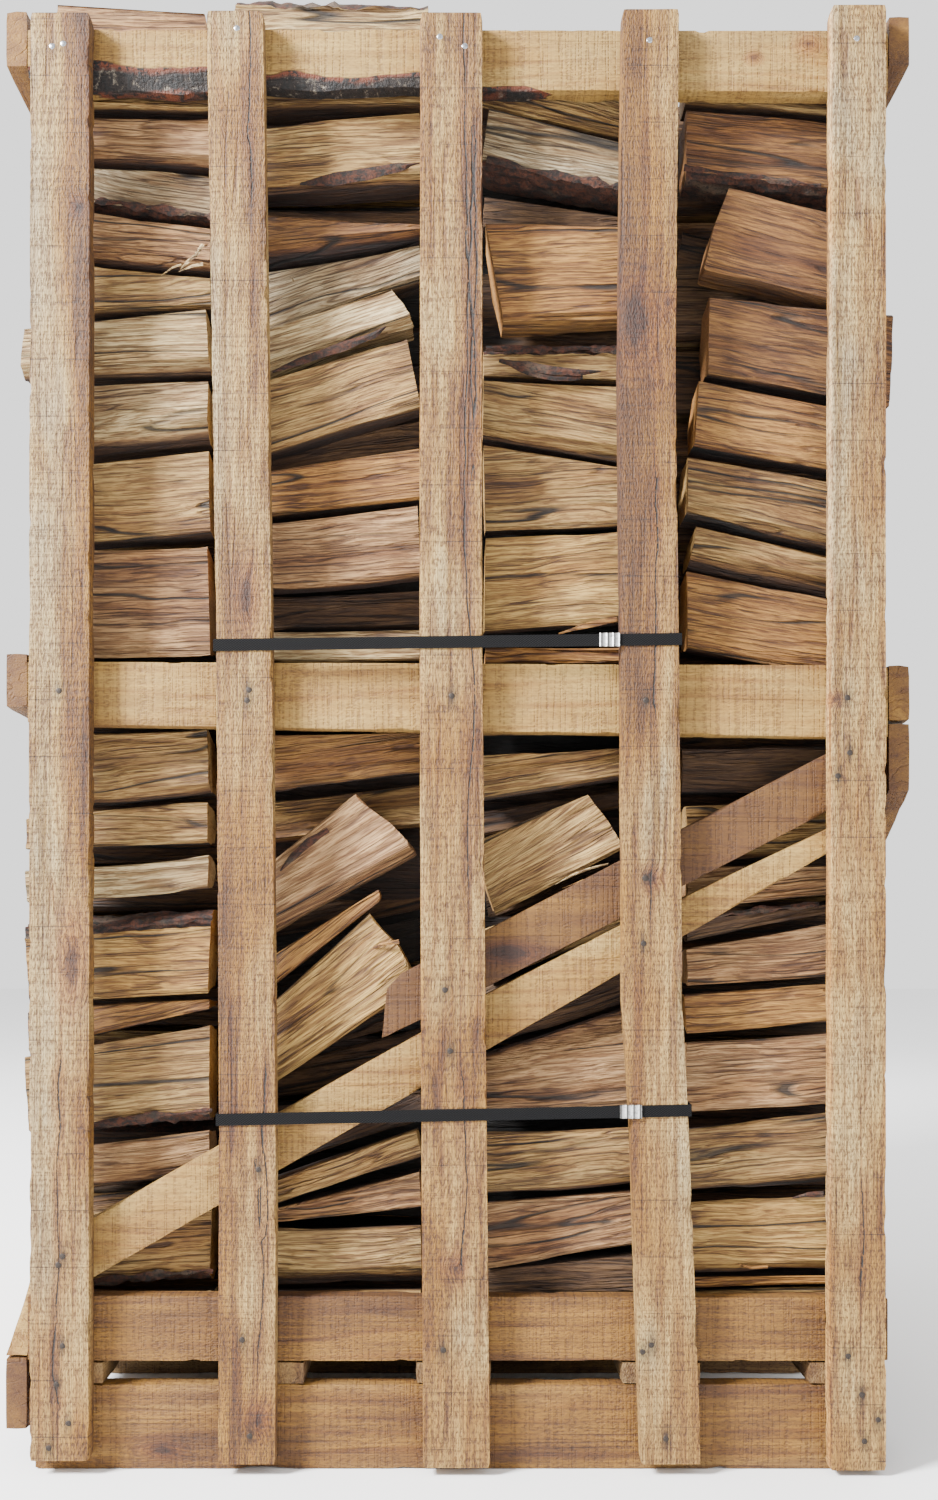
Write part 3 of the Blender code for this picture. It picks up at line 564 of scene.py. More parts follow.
def split_material():
    """Torn face of a split log: fibres and dark checks along the grain, and painted shade in its hollows
    and on its hidden sides.
    """
    tree = Tree("split_face", 0.75)
    grain = tree.read("grain", "Vector")
    painted_shade = tree.read("painted_shade")
    sway = tree.span(tree.noise(grain, (7.0, 14.0, 14.0), 2.0), 0.2, 0.8, -5.0 * MM, 5.0 * MM)
    grain = tree.vector("ADD", grain, tree.vector("MULTIPLY", (0.0, 1.0, 1.0), tree.join(sway)))
    streak = tree.noise(grain, (1.3, 28.0, 28.0), 3.0, 0.6)
    fibre = tree.noise(grain, (12.0, 300.0, 300.0), 3.0, 0.65)
    fine = tree.noise(grain, (45.0, 600.0, 600.0), 2.0)
    patch = tree.noise(grain, (7.0, 16.0, 16.0), 2.0)
    lines = ridges(tree, grain, (3.8, 85.0, 85.0), 0.036, 2.0, 0.1)
    lines = tree.times(lines, tree.span(patch, 0.34, 0.54, 0.3, 1.0))
    check = ridges(tree, grain, (2.0, 27.0, 27.0), 0.022, 1.0, 0.2)
    check = tree.times(check, tree.span(streak, 0.46, 0.56))
    colour = tree.dye(tree.read("tint", "Vector"), [
        (streak, 0.42, 0.60, 0.7, (0.85, 0.75, 0.60)),
        (patch, 0.50, 0.66, 0.7, (0.82, 0.69, 0.50)),
        (fibre, 0.50, 0.58, 1.0, (0.58, 0.48, 0.37)),
        (fibre, 0.48, 0.40, 1.0, (1.26, 1.26, 1.24)),
        (fine, 0.52, 0.60, 0.9, (0.56, 0.46, 0.37)),
        (lines, 0.0, 1.0, 0.85, (0.30, 0.21, 0.13)),
    ])
    colour = tree.mix(tree.times(check, 0.9), colour, shade((0.14, 0.08, 0.05)))
    # Painted shade: darker in hollows of the relief and on the hidden sides of logs, from the mesh
    # attribute
    colour = tree.dye(colour, [(painted_shade, 0.2, 1.0, 0.85, (0.40, 0.27, 0.17)),
                               (painted_shade, 1.0, 2.0, 1.0, (0.22, 0.15, 0.10))])
    height = tree.total((fibre, -1.2), (fine, -0.3), (lines, -0.6), (check, -1.2))
    return tree.finish(colour, height, 1.0, 4.0 * MM)


def end_material():
    """Sawn end of a log: rings, rays, drying cracks and saw lines."""
    tree = Tree("sawn_end", 0.85)
    grain = tree.read("grain", "Vector")
    section = tree.vector("MULTIPLY", grain, (0.0, 1.0, 1.0))
    blot = tree.noise(section, (0.0, 26.0, 26.0), 3.0)
    fine = tree.noise(grain, (300.0, 420.0, 420.0), 2.0)
    radius = tree.vector("LENGTH", section, output="Value")
    ring = tree.wave(tree.plus(radius, tree.times(blot, 7 * MM)), RING_PITCH)
    crack = ridges(tree, tree.vector("NORMALIZE", section), (0.0, 24.0, 24.0), 0.016)
    crack = tree.times(crack, tree.span(blot, 0.45, 0.56))
    colour = tree.dye(tree.read("tint", "Vector"), [
        (blot, 0.4, 0.65, 0.8, (0.80, 0.62, 0.46)),
        (ring, 0.3, 1.0, 0.6, (0.72, 0.60, 0.48)),
        (fine, 0.50, 0.64, 1.0, (0.60, 0.50, 0.42)),
        (fine, 0.46, 0.34, 1.0, (1.22, 1.22, 1.20)),
    ])
    colour = tree.mix(tree.times(crack, 0.9), colour, shade((0.12, 0.08, 0.05)))
    return tree.finish(colour, tree.total((fine, 0.6), (crack, -1.0)), 0.8, 1.4 * MM)


def bark_material():
    """Bark: red-brown cork with grey skin and dark cracks."""
    tree = Tree("bark", 0.9)
    grain = tree.read("grain", "Vector")
    rough = tree.noise(grain, (90.0, 130.0, 130.0), 4.0, 0.75)
    patch = tree.noise(grain, (16.0, 30.0, 30.0), 3.0)
    fine = tree.noise(grain, (260.0, 320.0, 320.0), 2.0)
    colour = tree.mix(tree.span(rough, 0.40, 0.60), shade((0.20, 0.13, 0.09)), shade((0.50, 0.31, 0.19)))
    colour = tree.mix(tree.span(patch, 0.54, 0.66, 0.0, 0.7), colour, shade((0.56, 0.50, 0.43)))
    colour = tree.mix(tree.span(fine, 0.52, 0.66, 0.0, 0.8), colour, shade((0.05, 0.03, 0.02)))
    return tree.finish(colour, tree.total((rough, 1.0), (fine, 0.4)), 1.0, 2.5 * MM)


def nail_material(name, colour, roughness, metallic):
    """Nail head: one colour with a fine bump."""
    tree = Tree(name, roughness, metallic)
    grit = tree.noise(tree.place(), (900.0, 900.0, 900.0), 3.0)
    darker = tuple(part * 0.6 for part in colour)
    colour = tree.mix(tree.span(grit, 0.35, 0.7), linear(colour), linear(darker))
    return tree.finish(colour, grit, 0.5, 0.4 * MM)


def seal_material():
    """Crimped steel seal: bright metal with painted shade in the folds across it, which also bump."""
    tree = Tree("seal_steel_look", 0.35, 1.0)
    fold = tree.wave(tree.split(tree.place())[0], FOLD_PITCH)
    grit = tree.noise(tree.place(), (300.0, 300.0, 300.0), 3.0)
    # Painted shade: the troughs of the folds darkened in the colour
    colour = tree.mix(tree.span(fold, 0.3, 0.95), (0.55, 0.55, 0.54), (0.06, 0.06, 0.06))
    colour = tree.mix(tree.span(grit, 0.52, 0.66, 0.0, 0.7), colour, (0.12, 0.11, 0.10))
    return tree.finish(colour, fold, 1.0, 0.8 * MM)


def strap_material():
    """Black strapping with its embossed weave, its raised parts painted a little lighter as painted shade
    and highlight.
    """
    tree = Tree("strap_black", 0.7)
    tree.shader.inputs["Specular IOR Level"].default_value = 0.1
    x, y, z = tree.split(tree.place())
    weave = tree.times(tree.wave(z, 2.6 * MM), tree.wave(tree.plus(x, y), 3.6 * MM))
    # Painted shade and highlight: the weave's low parts darker, its raised parts lighter
    colour = tree.mix(tree.span(weave, -1.0, 1.0), (0.001, 0.001, 0.001), (0.006, 0.006, 0.007))
    return tree.finish(colour, weave, 0.8, 0.5 * MM)


def add_mesh(name, verts, faces, materials, slots=None, attributes=None):
    """Make a mesh object with its materials and attributes."""
    mesh = bpy.data.meshes.new(name)
    mesh.from_pydata(verts.tolist(), [], faces)
    for material in materials:
        mesh.materials.append(material)
    if slots is not None:
        mesh.polygons.foreach_set("material_index", slots)
    for key, values in (attributes or {}).items():
        kind = "FLOAT_VECTOR" if values.ndim == 2 else "FLOAT"
        layer = mesh.attributes.new(key, kind, "POINT")
        layer.data.foreach_set("vector" if values.ndim == 2 else "value", values.astype(np.float32).ravel())
    mesh.polygons.foreach_set("use_smooth", [True] * len(mesh.polygons))
    mesh.set_sharp_from_angle(angle=math.radians(SHARP_ANGLE))
    mesh.update()
    return place_object(name, mesh)


def stand_for(item, slot, *nodes):
    """Let a piece ride on the crate and stand for CAD nodes."""
    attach(item, "root")
    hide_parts(*nodes)


def outline_of(node):
    """Long, wide and thin axis of a board node, with its corner points and edges."""
    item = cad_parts[node]
    points = np.array([vertex.co[:] for vertex in item.data.vertices])
    edges = np.array([edge.vertices[:] for edge in item.data.edges])
    order = np.argsort(points.min(axis=0) - points.max(axis=0))
    return tuple(int(axis) for axis in order), points, edges


def width_along(points, edges, long_axis, wide_axis, places):
    """Lowest and highest value across the board at each place along it."""
    first = points[edges[:, 0]]
    second = points[edges[:, 1]]
    lows = []
    highs = []
    for place in places:
        start = first[:, long_axis] - place
        stop = second[:, long_axis] - place
        crossing = (start * stop <= 0) & (np.abs(start - stop) > 1e-7)
        share = start[crossing] / (start[crossing] - stop[crossing])
        across = between(first[crossing, wide_axis], second[crossing, wide_axis], share)
        lows.append(across.min())
        highs.append(across.max())
    return np.array(lows), np.array(highs)


def board_ring(cells, side_cells):
    """Points round a board as (share across, share through)."""
    ring = [(index / cells, 0.0) for index in range(cells + 1)]
    ring.extend((1.0, index / side_cells) for index in range(1, side_cells + 1))
    ring.extend((1.0 - index / cells, 1.0) for index in range(1, cells + 1))
    ring.extend((0.0, 1.0 - index / side_cells) for index in range(1, side_cells))
    return np.array(ring)


def crack_distance(node, along, across):
    """Signed distance across the board to the nearest crack, in metres."""
    best = np.full(along.shape, 1.0)
    for points in CRACKS.get(node, []):
        ordered = sorted(points)
        heights = np.array([height * MM for height, place in ordered])
        places = np.array([place * MM for height, place in ordered])
        offset = across - np.interp(along, heights, places)
        beyond = np.maximum(heights[0] - along, along - heights[-1])
        offset = offset + np.sign(offset + 1e-9) * np.maximum(beyond, 0.0) * 0.35
        best = np.where(np.abs(offset) < np.abs(best), offset, best)
    return best


def knot_distance(node, along, across):
    """Distance to the nearest knot, 1 at its edge."""
    best = np.full(along.shape, 6.0)
    for place, offset, half_long, half_wide in KNOTS.get(node, []):
        radius = np.hypot((along - place * MM) / (half_long * MM),
                          (across - offset * MM) / (half_wide * MM))
        best = np.minimum(best, radius)
    return best


def wane_depth(node, along, across):
    """How far a point lies below the line where bark starts on a board, in metres."""
    if node not in WANE_LINES:
        return np.full(along.shape, -0.05)
    places = np.array([place * MM for place, height in WANE_LINES[node]])
    heights = np.array([height * MM for place, height in WANE_LINES[node]])
    return np.interp(along, places, heights) - across


def nail_stain(node, along, across):
    """Darkness round the nail heads of a front slat."""
    stain = np.zeros(along.shape)
    if not node.startswith("front_slat"):
        return stain
    for index, (x, z) in enumerate(BRIGHT_NAILS + DULL_NAILS):
        strength = 0.35 if index < len(BRIGHT_NAILS) else 0.85
        reach = np.hypot((along - z * MM) / (12 * MM), (across - x * MM) / (5.5 * MM))
        stain = np.maximum(stain, strength * np.exp(-reach ** 2))
    return stain


def corner_tone(node, share_along, share_across, seed):
    """Colour lean over the board, from its four corners."""
    low_left, low_right, high_left, high_right = BOARD_TONE.get(node, (0.0, 0.1, 0.1, 0.0))
    edge = np.clip((share_across - 0.5 + 0.22 * noise(share_along * 7, 0.0, 0.0, seed)) * 3 + 0.5, 0, 1)
    rise = np.clip((share_along - 0.42) * 5, 0, 1)
    return between(between(low_left, low_right, edge), between(high_left, high_right, edge), rise)


def build_board(node, material, seed):
    """Rebuild a board from its CAD outline with worn, uneven edges."""
    (long_axis, wide_axis, thin_axis), points, edges = outline_of(node)
    shown = node.startswith("front_") or node == "base_bearer_1"
    step, cells, side_cells = FINE_BOARD if shown else PLAIN_BOARD
    start = points[:, long_axis].min() + 0.05 * MM
    stop = points[:, long_axis].max() - 0.05 * MM
    count = max(4, int((stop - start) / step))
    places = np.linspace(start, stop, count)
    lows, highs = width_along(points, edges, long_axis, wide_axis, places)
    near = points[:, thin_axis].min()
    far = points[:, thin_axis].max()
    ring = board_ring(cells, side_cells)
    across = ring[:, 0][None, :]
    through = ring[:, 1][None, :]
    along = np.repeat(places[:, None], len(ring), axis=1)
    low = lows[:, None]
    high = highs[:, None]
    low_wave = EDGE_WAVE * layered(along * 9, 3.1, 0.0, seed) + EDGE_INSET
    high_wave = EDGE_WAVE * layered(along * 9, 7.7, 0.0, seed + 5) - EDGE_INSET
    chip = np.maximum(0.0, noise(along * 45, across * 9, through * 5, seed + 9) - 0.45) * CHIP_DEPTH
    wide = between(low + low_wave, high + high_wave, across)
    thin = between(near, far, through) + 0 * along
    at_side = np.where((across < 0.001) | (across > 0.999), 1.0, 0.0)
    at_face = np.where((through < 0.001) | (through > 0.999), 1.0, 0.0)
    corner = at_side * at_face
    inward = np.where(through < 0.5, 1.0, -1.0)
    wide = wide + corner * np.where(across < 0.5, 1.0, -1.0) * (0.6 * MM + chip)
    thin = thin + corner * inward * (0.4 * MM + 0.5 * chip)
    wane = wane_depth(node, along, wide)
    thin = thin + np.clip(wane, 0.0, WANE_REACH) * 0.45 * (1.0 - through)
    surface = 0.28 * MM * noise(along * 160, wide * 40, through, seed + 3) + 0.25 * MM
    thin = thin + at_face * inward * surface
    knot = knot_distance(node, along, wide)
    verts = np.zeros((count, len(ring), 3))
    verts[..., long_axis] = along
    verts[..., wide_axis] = wide
    verts[..., thin_axis] = thin
    verts = np.clip(verts, points.min(axis=0), points.max(axis=0))
    total = len(ring)
    faces = []
    for row in range(count - 1):
        base = row * total
        for index in range(total):
            following = (index + 1) % total
            faces.append((base + index, base + following, base + total + following, base + total + index))
    verts = verts.reshape(-1, 3)
    faces.append(tuple(range(total))[::-1])
    faces.append(tuple(range((count - 1) * total, count * total)))
    if (wide_axis - long_axis) % 3 == 2:
        faces = [face[::-1] for face in faces]
    share_along = (along - start) / (stop - start)
    push = np.exp(-(knot / 1.4) ** 2) * 7 * MM * np.sign(np.sin(seed + 0.5))
    grain = np.stack([along + seed * 0.37, wide + push + seed * 0.113, thin + seed * 0.071], axis=-1)
    attributes = {
        "grain": grain.reshape(-1, 3),
        "tone": (corner_tone(node, share_along, across + 0 * along, seed) + 0 * along).ravel(),
        "knot": knot.ravel(),
        "crack": crack_distance(node, along, wide).ravel(),
        "stain": nail_stain(node, along, wide).ravel(),
        # Painted highlight on the sides of some boards
        "side_highlight": (PAINTED_SIDE_HIGHLIGHTS.get(node, 0.0) * at_side * (1 - 0.75 * at_face) + 0 * along).ravel(),
        "wane": np.minimum(wane, WANE_WIDTHS.get(node, 0) * MM - wane).ravel(),
    }
    return add_mesh("look_" + node, verts, faces, [material], None, attributes)


def section_points(section, front_cells, other_cells):
    """Points round a log's section and whether each following strip is bark."""
    corners = SECTIONS[section]
    bark = BARK_SEGMENTS.get(section, ())
    points = []
    barked = []
    total = len(corners)
    for index in range(total):
        start = np.array(corners[index])
        stop = np.array(corners[(index + 1) % total])
        length = float(np.hypot(*(stop - start)))
        facing = (start[0] + stop[0]) / 2 < 0.3
        cells = max(1, round(length * (front_cells if facing else other_cells)))
        for cell in range(cells):
            points.append(start + (stop - start) * cell / cells)
            barked.append(index in bark)
    return np.array(points), np.array(barked)


def log_relief(arc, along, offset, bark, seed):
    """Height in mm of a log's surface: swells, torn plates, fibres and grooves, or cork on bark."""
    swells = layered(arc * 42 + offset, along * 3.2, 0.3, seed, 2) * 1.7
    plates = np.tanh(9 * noise(arc * 34 + offset, along * 7, 5.0, seed + 3)) * 1.3
    fibres = noise(arc * 120, along * 9, 9.0, seed + 5) * 0.8
    grooves = -np.exp(-(noise(arc * 55, along * 2.2, 2.0, seed + 7) / 0.07) ** 2) * 2.2
    cork = layered(arc * 90, along * 75, 1.0, seed + 8, 3) * 2.6
    return (swells + plates + fibres + grooves) * (1 - bark) + cork * bark


def section_normals(closed):
    """Outward direction at each point of a closed section."""
    following = np.roll(closed[:-1], -1, axis=0) - np.roll(closed[:-1], 1, axis=0)
    normal = np.stack([-following[:, 1], following[:, 0]], axis=1)
    return normal / np.maximum(np.linalg.norm(normal, axis=1), 1e-9)[:, None]


def add_log_ends(part, total, stations, offset, chooser):
    """Close a log with its two sawn ends, which have points of their own."""
    pith = np.array([0.0, chooser.uniform(-0.06, 0.06), chooser.uniform(0.03, 0.12)])
    for end, base in ((0, 0), (1, (stations - 1) * total)):
        rim = part["verts"][base:base + total]
        middle = rim.mean(axis=0)
        inner = middle + (rim - middle) * 0.5
        inner[:, 0] += np.array([chooser.uniform(-0.6, 0.6) for point in inner]) * MM
        start = len(part["verts"])
        new = np.vstack([rim, inner, middle[None, :]])
        flat = new - middle
        face_grain = np.stack([flat[:, 0] + offset, flat[:, 2], flat[:, 1]], axis=1) + pith
        part["verts"] = np.vstack([part["verts"], new])
        part["grain"] = np.vstack([part["grain"], face_grain])
        part["painted_shade"] = np.concatenate([part["painted_shade"], np.zeros(len(new))])
        for index in range(total):
            after = (index + 1) % total
            quad = (start + index, start + after, start + total + after, start + total + index)
            point = (start + total + index, start + total + after, start + 2 * total)
            part["faces"].extend((quad, point) if end == 0 else (quad[::-1], point[::-1]))
            part["slots"].extend((2, 2))


def log_part(left, right, depth, section, colour, seed, cells=(21, 6), stations=44, painted_shade_inside=False):
    """Arrays of one split log.

    left and right are (x, low, high) of its face at each end, depth is (front, back), all metres.
    """
    chooser = random.Random(seed)
    ring, barked = section_points(section, *cells)
    total = len(ring)
    share = np.linspace(0.0, 1.0, stations)[:, None]
    low = between(left[1], right[1], share)
    high = between(left[2], right[2], share)
    slope = ((right[1] + right[2]) - (left[1] + left[2])) / 2 / (right[0] - left[0])
    height = high - low
    thick = depth[1] - depth[0]
    v = ring[:, 1][None, :]
    w = ring[:, 0][None, :]
    twist = chooser.uniform(-0.10, 0.10) * (share - 0.5)
    w_now = w + twist * (v - 0.5) * 1.2
    v_now = v + 0.5 * twist * (w - 0.5)
    closed = np.vstack([ring, ring[:1]]) * np.array([thick, float(height.mean())])
    arc = np.concatenate([[0], np.cumsum(np.hypot(*np.diff(closed, axis=0).T))])[:-1][None, :]
    along = share * (right[0] - left[0])
    offset = chooser.uniform(0, 50)
    bark_here = (barked | np.roll(barked, 1)).astype(float)[None, :]
    bump = (log_relief(arc, along, offset, bark_here, seed) - LOG_SINK) * MM
    normal = section_normals(closed)
    bow = chooser.uniform(-2.5, 2.5) * MM * np.sin(math.pi * share)
    y = depth[0] + w_now * thick + bump * normal[None, :, 0] + bow
    z = low + v_now * height + bump * normal[None, :, 1] + bow * 0.6
    tilt = chooser.uniform(-0.05, 0.05)
    lean = 0.6 if abs(slope) > 0.2 else 0.25
    centre = (low + high) / 2
    x = between(left[0], right[0], share) - (z - centre) * slope * lean
    x = x + (z - centre) * tilt * (share * 2 - 1)
    grain = np.stack([along + 0 * arc + offset, v * height + offset * 0.7,
                      w * thick + offset * 0.3 + 0 * along], axis=-1)
    # Painted shade in the hollows of the relief, darker the deeper they go; none on bark
    painted_shade = np.clip(-(bump / MM + LOG_SINK) / 3.4, 0, 1) * (1 - bark_here)
    # Painted shade on the parts of a front log that lie deeper than its face, so the gaps between logs look
    # black
    if painted_shade_inside:
        painted_shade = np.maximum(painted_shade, 2.0 * np.clip((w - 0.11) / 0.14, 0, 1))
    part = {"verts": np.stack([x, y, z], axis=-1).reshape(-1, 3), "grain": grain.reshape(-1, 3),
            "painted_shade": painted_shade.ravel(), "faces": [], "slots": [], "body": stations * total}
    for base in range(0, (stations - 1) * total, total):
        for index in range(total):
            after = (index + 1) % total
            part["faces"].append((base + index, base + total + index, base + total + after, base + after))
            part["slots"].append(1 if barked[index] else 0)
    add_log_ends(part, total, stations, offset, chooser)
    vary = 1.0 + chooser.uniform(-0.08, 0.06)
    tint = np.tile(np.array(shade(colour)) * vary, (len(part["verts"]), 1))
    # Logs coloured with the painted-shade brown get plain tan ends
    tint[part["body"]:] = np.array(shade(TAN if colour == PAINTED_SHADE_BROWN else colour)) * END_LIFT
    part["tint"] = tint
    return part


def join_parts(name, parts, materials):
    """One mesh object from several logs."""
    faces = []
    slots = []
    start = 0
    for part in parts:
        faces.extend(tuple(index + start for index in face) for face in part["faces"])
        slots.extend(part["slots"])
        start += len(part["verts"])
    attributes = {key: np.concatenate([part[key] for part in parts])
                  for key in ("verts", "grain", "tint", "painted_shade")}
    return add_mesh(name, attributes.pop("verts"), faces, materials, slots, attributes)


def row_edges(row, share):
    """Height of the lower and upper edge of a front log at a share of its bay's width."""
    return between(row[0], row[1], share) * MM, between(row[2], row[3], share) * MM


def build_front_logs(materials):
    """Every log that shows between the front slats, each a piece of its own."""
    for bay, rows in enumerate(FRONT_LOGS):
        node = f"log_stack_{bay + 1}"
        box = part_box(node)
        edge_left, edge_right = (value * MM for value in BAYS[bay])
        for number, row in enumerate(rows):
            depth, section, colour = row[4:]
            seed = 100 * (bay + 1) + number
            chooser = random.Random(seed)
            ends = []
            for x in (box[0][0] + 0.5 * MM, box[1][0] - 0.5 * MM):
                share = (x - edge_left) / (edge_right - edge_left)
                low, high = row_edges(row, min(max(share, -PAST_BAY), 1 + PAST_BAY))
                ends.append([x, low, max(high, low + THINNEST_LOG)])
            ends[0][0] += chooser.uniform(0, 4) * MM
            ends[1][0] -= chooser.uniform(0, 4) * MM
            if bay == 0 and number not in PROUD_LEFT:
                ends[0][0] += SET_BACK
            if bay == 3 and number not in PROUD_RIGHT:
                ends[1][0] -= SET_BACK
            if (bay, number) in LOG_ENDS:
                shorter = LOG_ENDS[bay, number]
                ends[0][0] = max(ends[0][0], shorter[0] * MM)
                ends[1][0] = min(ends[1][0], shorter[1] * MM)
            front = FRONT + depth * MM
            back = front + chooser.uniform(70, 80) * MM
            part = log_part(ends[0], ends[1], (front, back), section, colour, seed, painted_shade_inside=True)
            part["verts"] = np.clip(part["verts"], box[0], box[1])
            item = join_parts(f"log_{bay + 1}_{number + 1:02d}", [part], materials)
            stand_for(item, "firewood", node)


def build_leaning_logs(materials):
    """The logs with nodes of their own."""
    for number, (node, values) in enumerate(LEANING_LOGS.items()):
        low_left, low_right, high_right, high_left, depth, thick, section, colour = values
        left = ((low_left[0] + high_left[0]) / 2 * MM, low_left[1] * MM, high_left[1] * MM)
        right = ((low_right[0] + high_right[0]) / 2 * MM, low_right[1] * MM, high_right[1] * MM)
        front = FRONT + depth * MM
        part = log_part(left, right, (front, front + thick * MM), section, colour, 900 + number)
        shear_ends(part, values[:4], left, right)
        part["verts"][:, 2] = np.minimum(part["verts"][:, 2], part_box(node)[1][2])
        item = join_parts("look_" + node, [part], materials)
        stand_for(item, "firewood", node)


def shear_ends(part, corners, left, right):
    """Move the ends so that the face gets its four corners."""
    low_left, low_right, high_right, high_left = corners
    verts = part["verts"]
    share = np.clip((verts[:, 0] - left[0]) / (right[0] - left[0]), 0, 1)
    low = between(left[1], right[1], share)
    high = between(left[2], right[2], share)
    up = np.clip((verts[:, 2] - low) / np.maximum(high - low, 1e-6), 0, 1)
    at_left = between(low_left[0], high_left[0], up) * MM
    at_right = between(low_right[0], high_right[0], up) * MM
    straight = between(left[0], right[0], share)
    verts[:, 0] = between(at_left, at_right, share) + (verts[:, 0] - straight) * 0.3


def strip_of(points, widths, thick, seed):
    """A thin bent chip along a line of points: vertices and faces."""
    points = np.array(points, dtype=float)
    fine = np.linspace(0, len(points) - 1, 5 * len(points))
    line = np.stack([np.interp(fine, range(len(points)), points[:, axis]) for axis in range(3)], axis=1)
    widths = np.interp(fine, range(len(widths)), widths)
    direction = np.gradient(line, axis=0)
    direction = direction / np.linalg.norm(direction, axis=1)[:, None]
    side = np.cross(direction, np.array([0.0, 1.0, 0.0]))
    jag = 1.0 + 0.35 * noise(fine * 1.9, 0.5, 0.0, seed)
    through = np.array([0.0, thick, 0.0])
    verts = []
    for spot, across, width, rough in zip(line, side, widths, jag):
        half = across * width * rough / 2
        verts.extend([spot - half, spot - through, spot + half, spot + through])
    faces = []
    for row in range(len(line) - 1):
        for index in range(4):
            after = (index + 1) % 4
            faces.append((row * 4 + index, row * 4 + 4 + index, row * 4 + 4 + after, row * 4 + after))
    faces.append((0, 1, 2, 3))
    faces.append(tuple(range(len(verts) - 1, len(verts) - 5, -1)))
    return np.array(verts), faces


def chip_object(name, points, widths, thick, colour, slot, seed, materials):
    """One thin chip as an object."""
    verts, faces = strip_of(points, widths, thick, seed)
    grain = np.stack([verts[:, 0], verts[:, 2], verts[:, 1]], axis=1)
    tint = np.tile(np.array(shade(colour)), (len(verts), 1))
    attributes = {"grain": grain, "tint": tint, "painted_shade": np.zeros(len(verts))}
    item = add_mesh(name, verts, faces, materials, [slot] * len(faces), attributes)
    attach(item, "root")


def build_bark_edges(materials):
    """Ragged crust where the bark of a front log breaks off at its face."""
    for bay, rows in enumerate(FRONT_LOGS):
        left, right = (value * MM for value in BAYS[bay])
        for number, row in enumerate(rows):
            depth, section = row[4:6]
            if section not in BARK_EDGE_HEIGHTS:
                continue
            chooser = random.Random(7000 + 100 * bay + number)
            points = []
            widths = []
            for share in np.linspace(0.0, 1.0, 15):
                z = between(*row_edges(row, share), BARK_EDGE_HEIGHTS[section])
                z += chooser.uniform(-1.5, 1.5) * MM
                points.append((between(left, right, share), FRONT + (depth + 1.5) * MM, z))
                widths.append(chooser.uniform(3.0, 12.0) * MM)
            name = f"bark_edge_{bay + 1}_{number + 1:02d}"
            chip_object(name, points, widths, BARK_THICKNESS, BROWN, 1, 40 * bay + number, materials)


def build_chips(materials):
    """Splinters, torn fibres and flakes of bark that stand off the logs."""
    for number, (line, width, kind) in enumerate(CHIPS):
        points = [(x * MM, FRONT + depth * MM, z * MM) for x, z, depth in line]
        widths = [width * MM * share for share in CHIP_TAPER]
        colour, thick, slot = CHIP_KINDS[kind]
        chip_object(f"chip_{number + 1:02d}", points, widths, thick * MM, colour, slot, number, materials)


def row_cuts(chooser, low, high, smallest, largest):
    """Random cuts of a stretch into rows."""
    cuts = [low]
    while cuts[-1] < high - largest:
        cuts.append(cuts[-1] + chooser.uniform(smallest, largest))
    if high - cuts[-1] < smallest:
        cuts.pop()
    cuts.append(high)
    return cuts


def build_inner_logs(materials):
    """The stacks behind the front logs: the ones that show from the sides, back and top."""
    for bay in range(4):
        node = f"log_stack_{bay + 1}"
        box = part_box(node)
        span = (box[0][0] + 1 * MM, box[1][0] - 1 * MM)
        outer = bay in (0, 3)
        chooser = random.Random(500 + bay)
        cuts = row_cuts(chooser, FRONT + INNER_START, BACK - chooser.uniform(54, 60) * MM, *INNER_DEPTHS)
        groups = {}
        for place, depths in enumerate(zip(cuts, cuts[1:])):
            first = place == 0
            last = place == len(cuts) - 2
            rows = row_cuts(chooser, box[0][2], box[1][2] - 3 * MM, *INNER_HEIGHTS)
            for row, heights in enumerate(zip(rows, rows[1:])):
                top = row == len(rows) - 2
                # The first pile of the inner bays, all but its top row, takes dark colours as painted shade
                colours = SHADED_COLOURS if first and not outer and not top else COLOURS
                detail = "fine" if last or top else "plain" if outer or first else "hidden"
                part = inner_log(chooser, span, heights, depths, colours, detail, first)
                part["verts"] = np.clip(part["verts"], box[0], box[1])
                groups.setdefault(f"stack_{bay + 1}_part_{min(row // 5, 3) + 1}", []).append(part)
        for key, parts in groups.items():
            stand_for(join_parts(key, parts, materials), "firewood", node)


def inner_log(chooser, span, heights, depths, colours, detail, first):
    """One log inside a stack; those of the first pile get painted shade on their front part, where the
    front logs shade them.
    """
    ragged = (2 if first else 9) * MM
    low, high = (value + chooser.uniform(-5, 5) * MM for value in heights)
    front, back = (value + chooser.uniform(-5, 5) * MM for value in depths)
    slope = chooser.uniform(-4, 4) * MM
    left = [span[0] + chooser.random() * ragged, low, high]
    right = [span[1] - chooser.random() * ragged, low + slope, high + slope]
    section = chooser.choice(INNER_SECTIONS)
    cells, stations = INNER_DETAIL[detail]
    seed = chooser.randrange(10 ** 6)
    part = log_part(left, right, (front, back), section, chooser.choice(colours), seed, cells, stations)
    if chooser.random() < 0.5:
        part["verts"][:, 1] = front + back - part["verts"][:, 1]
        part["faces"] = [face[::-1] for face in part["faces"]]
    # Painted shade on the front part of a first-pile log
    if first:
        body = part["body"]
        depth = (part["verts"][:body, 1] - front) / (back - front)
        shaded = 1.7 * np.clip((0.3 - depth) / 0.12, 0.0, 1.0)
        part["painted_shade"][:body] = np.maximum(part["painted_shade"][:body], shaded)
    return part


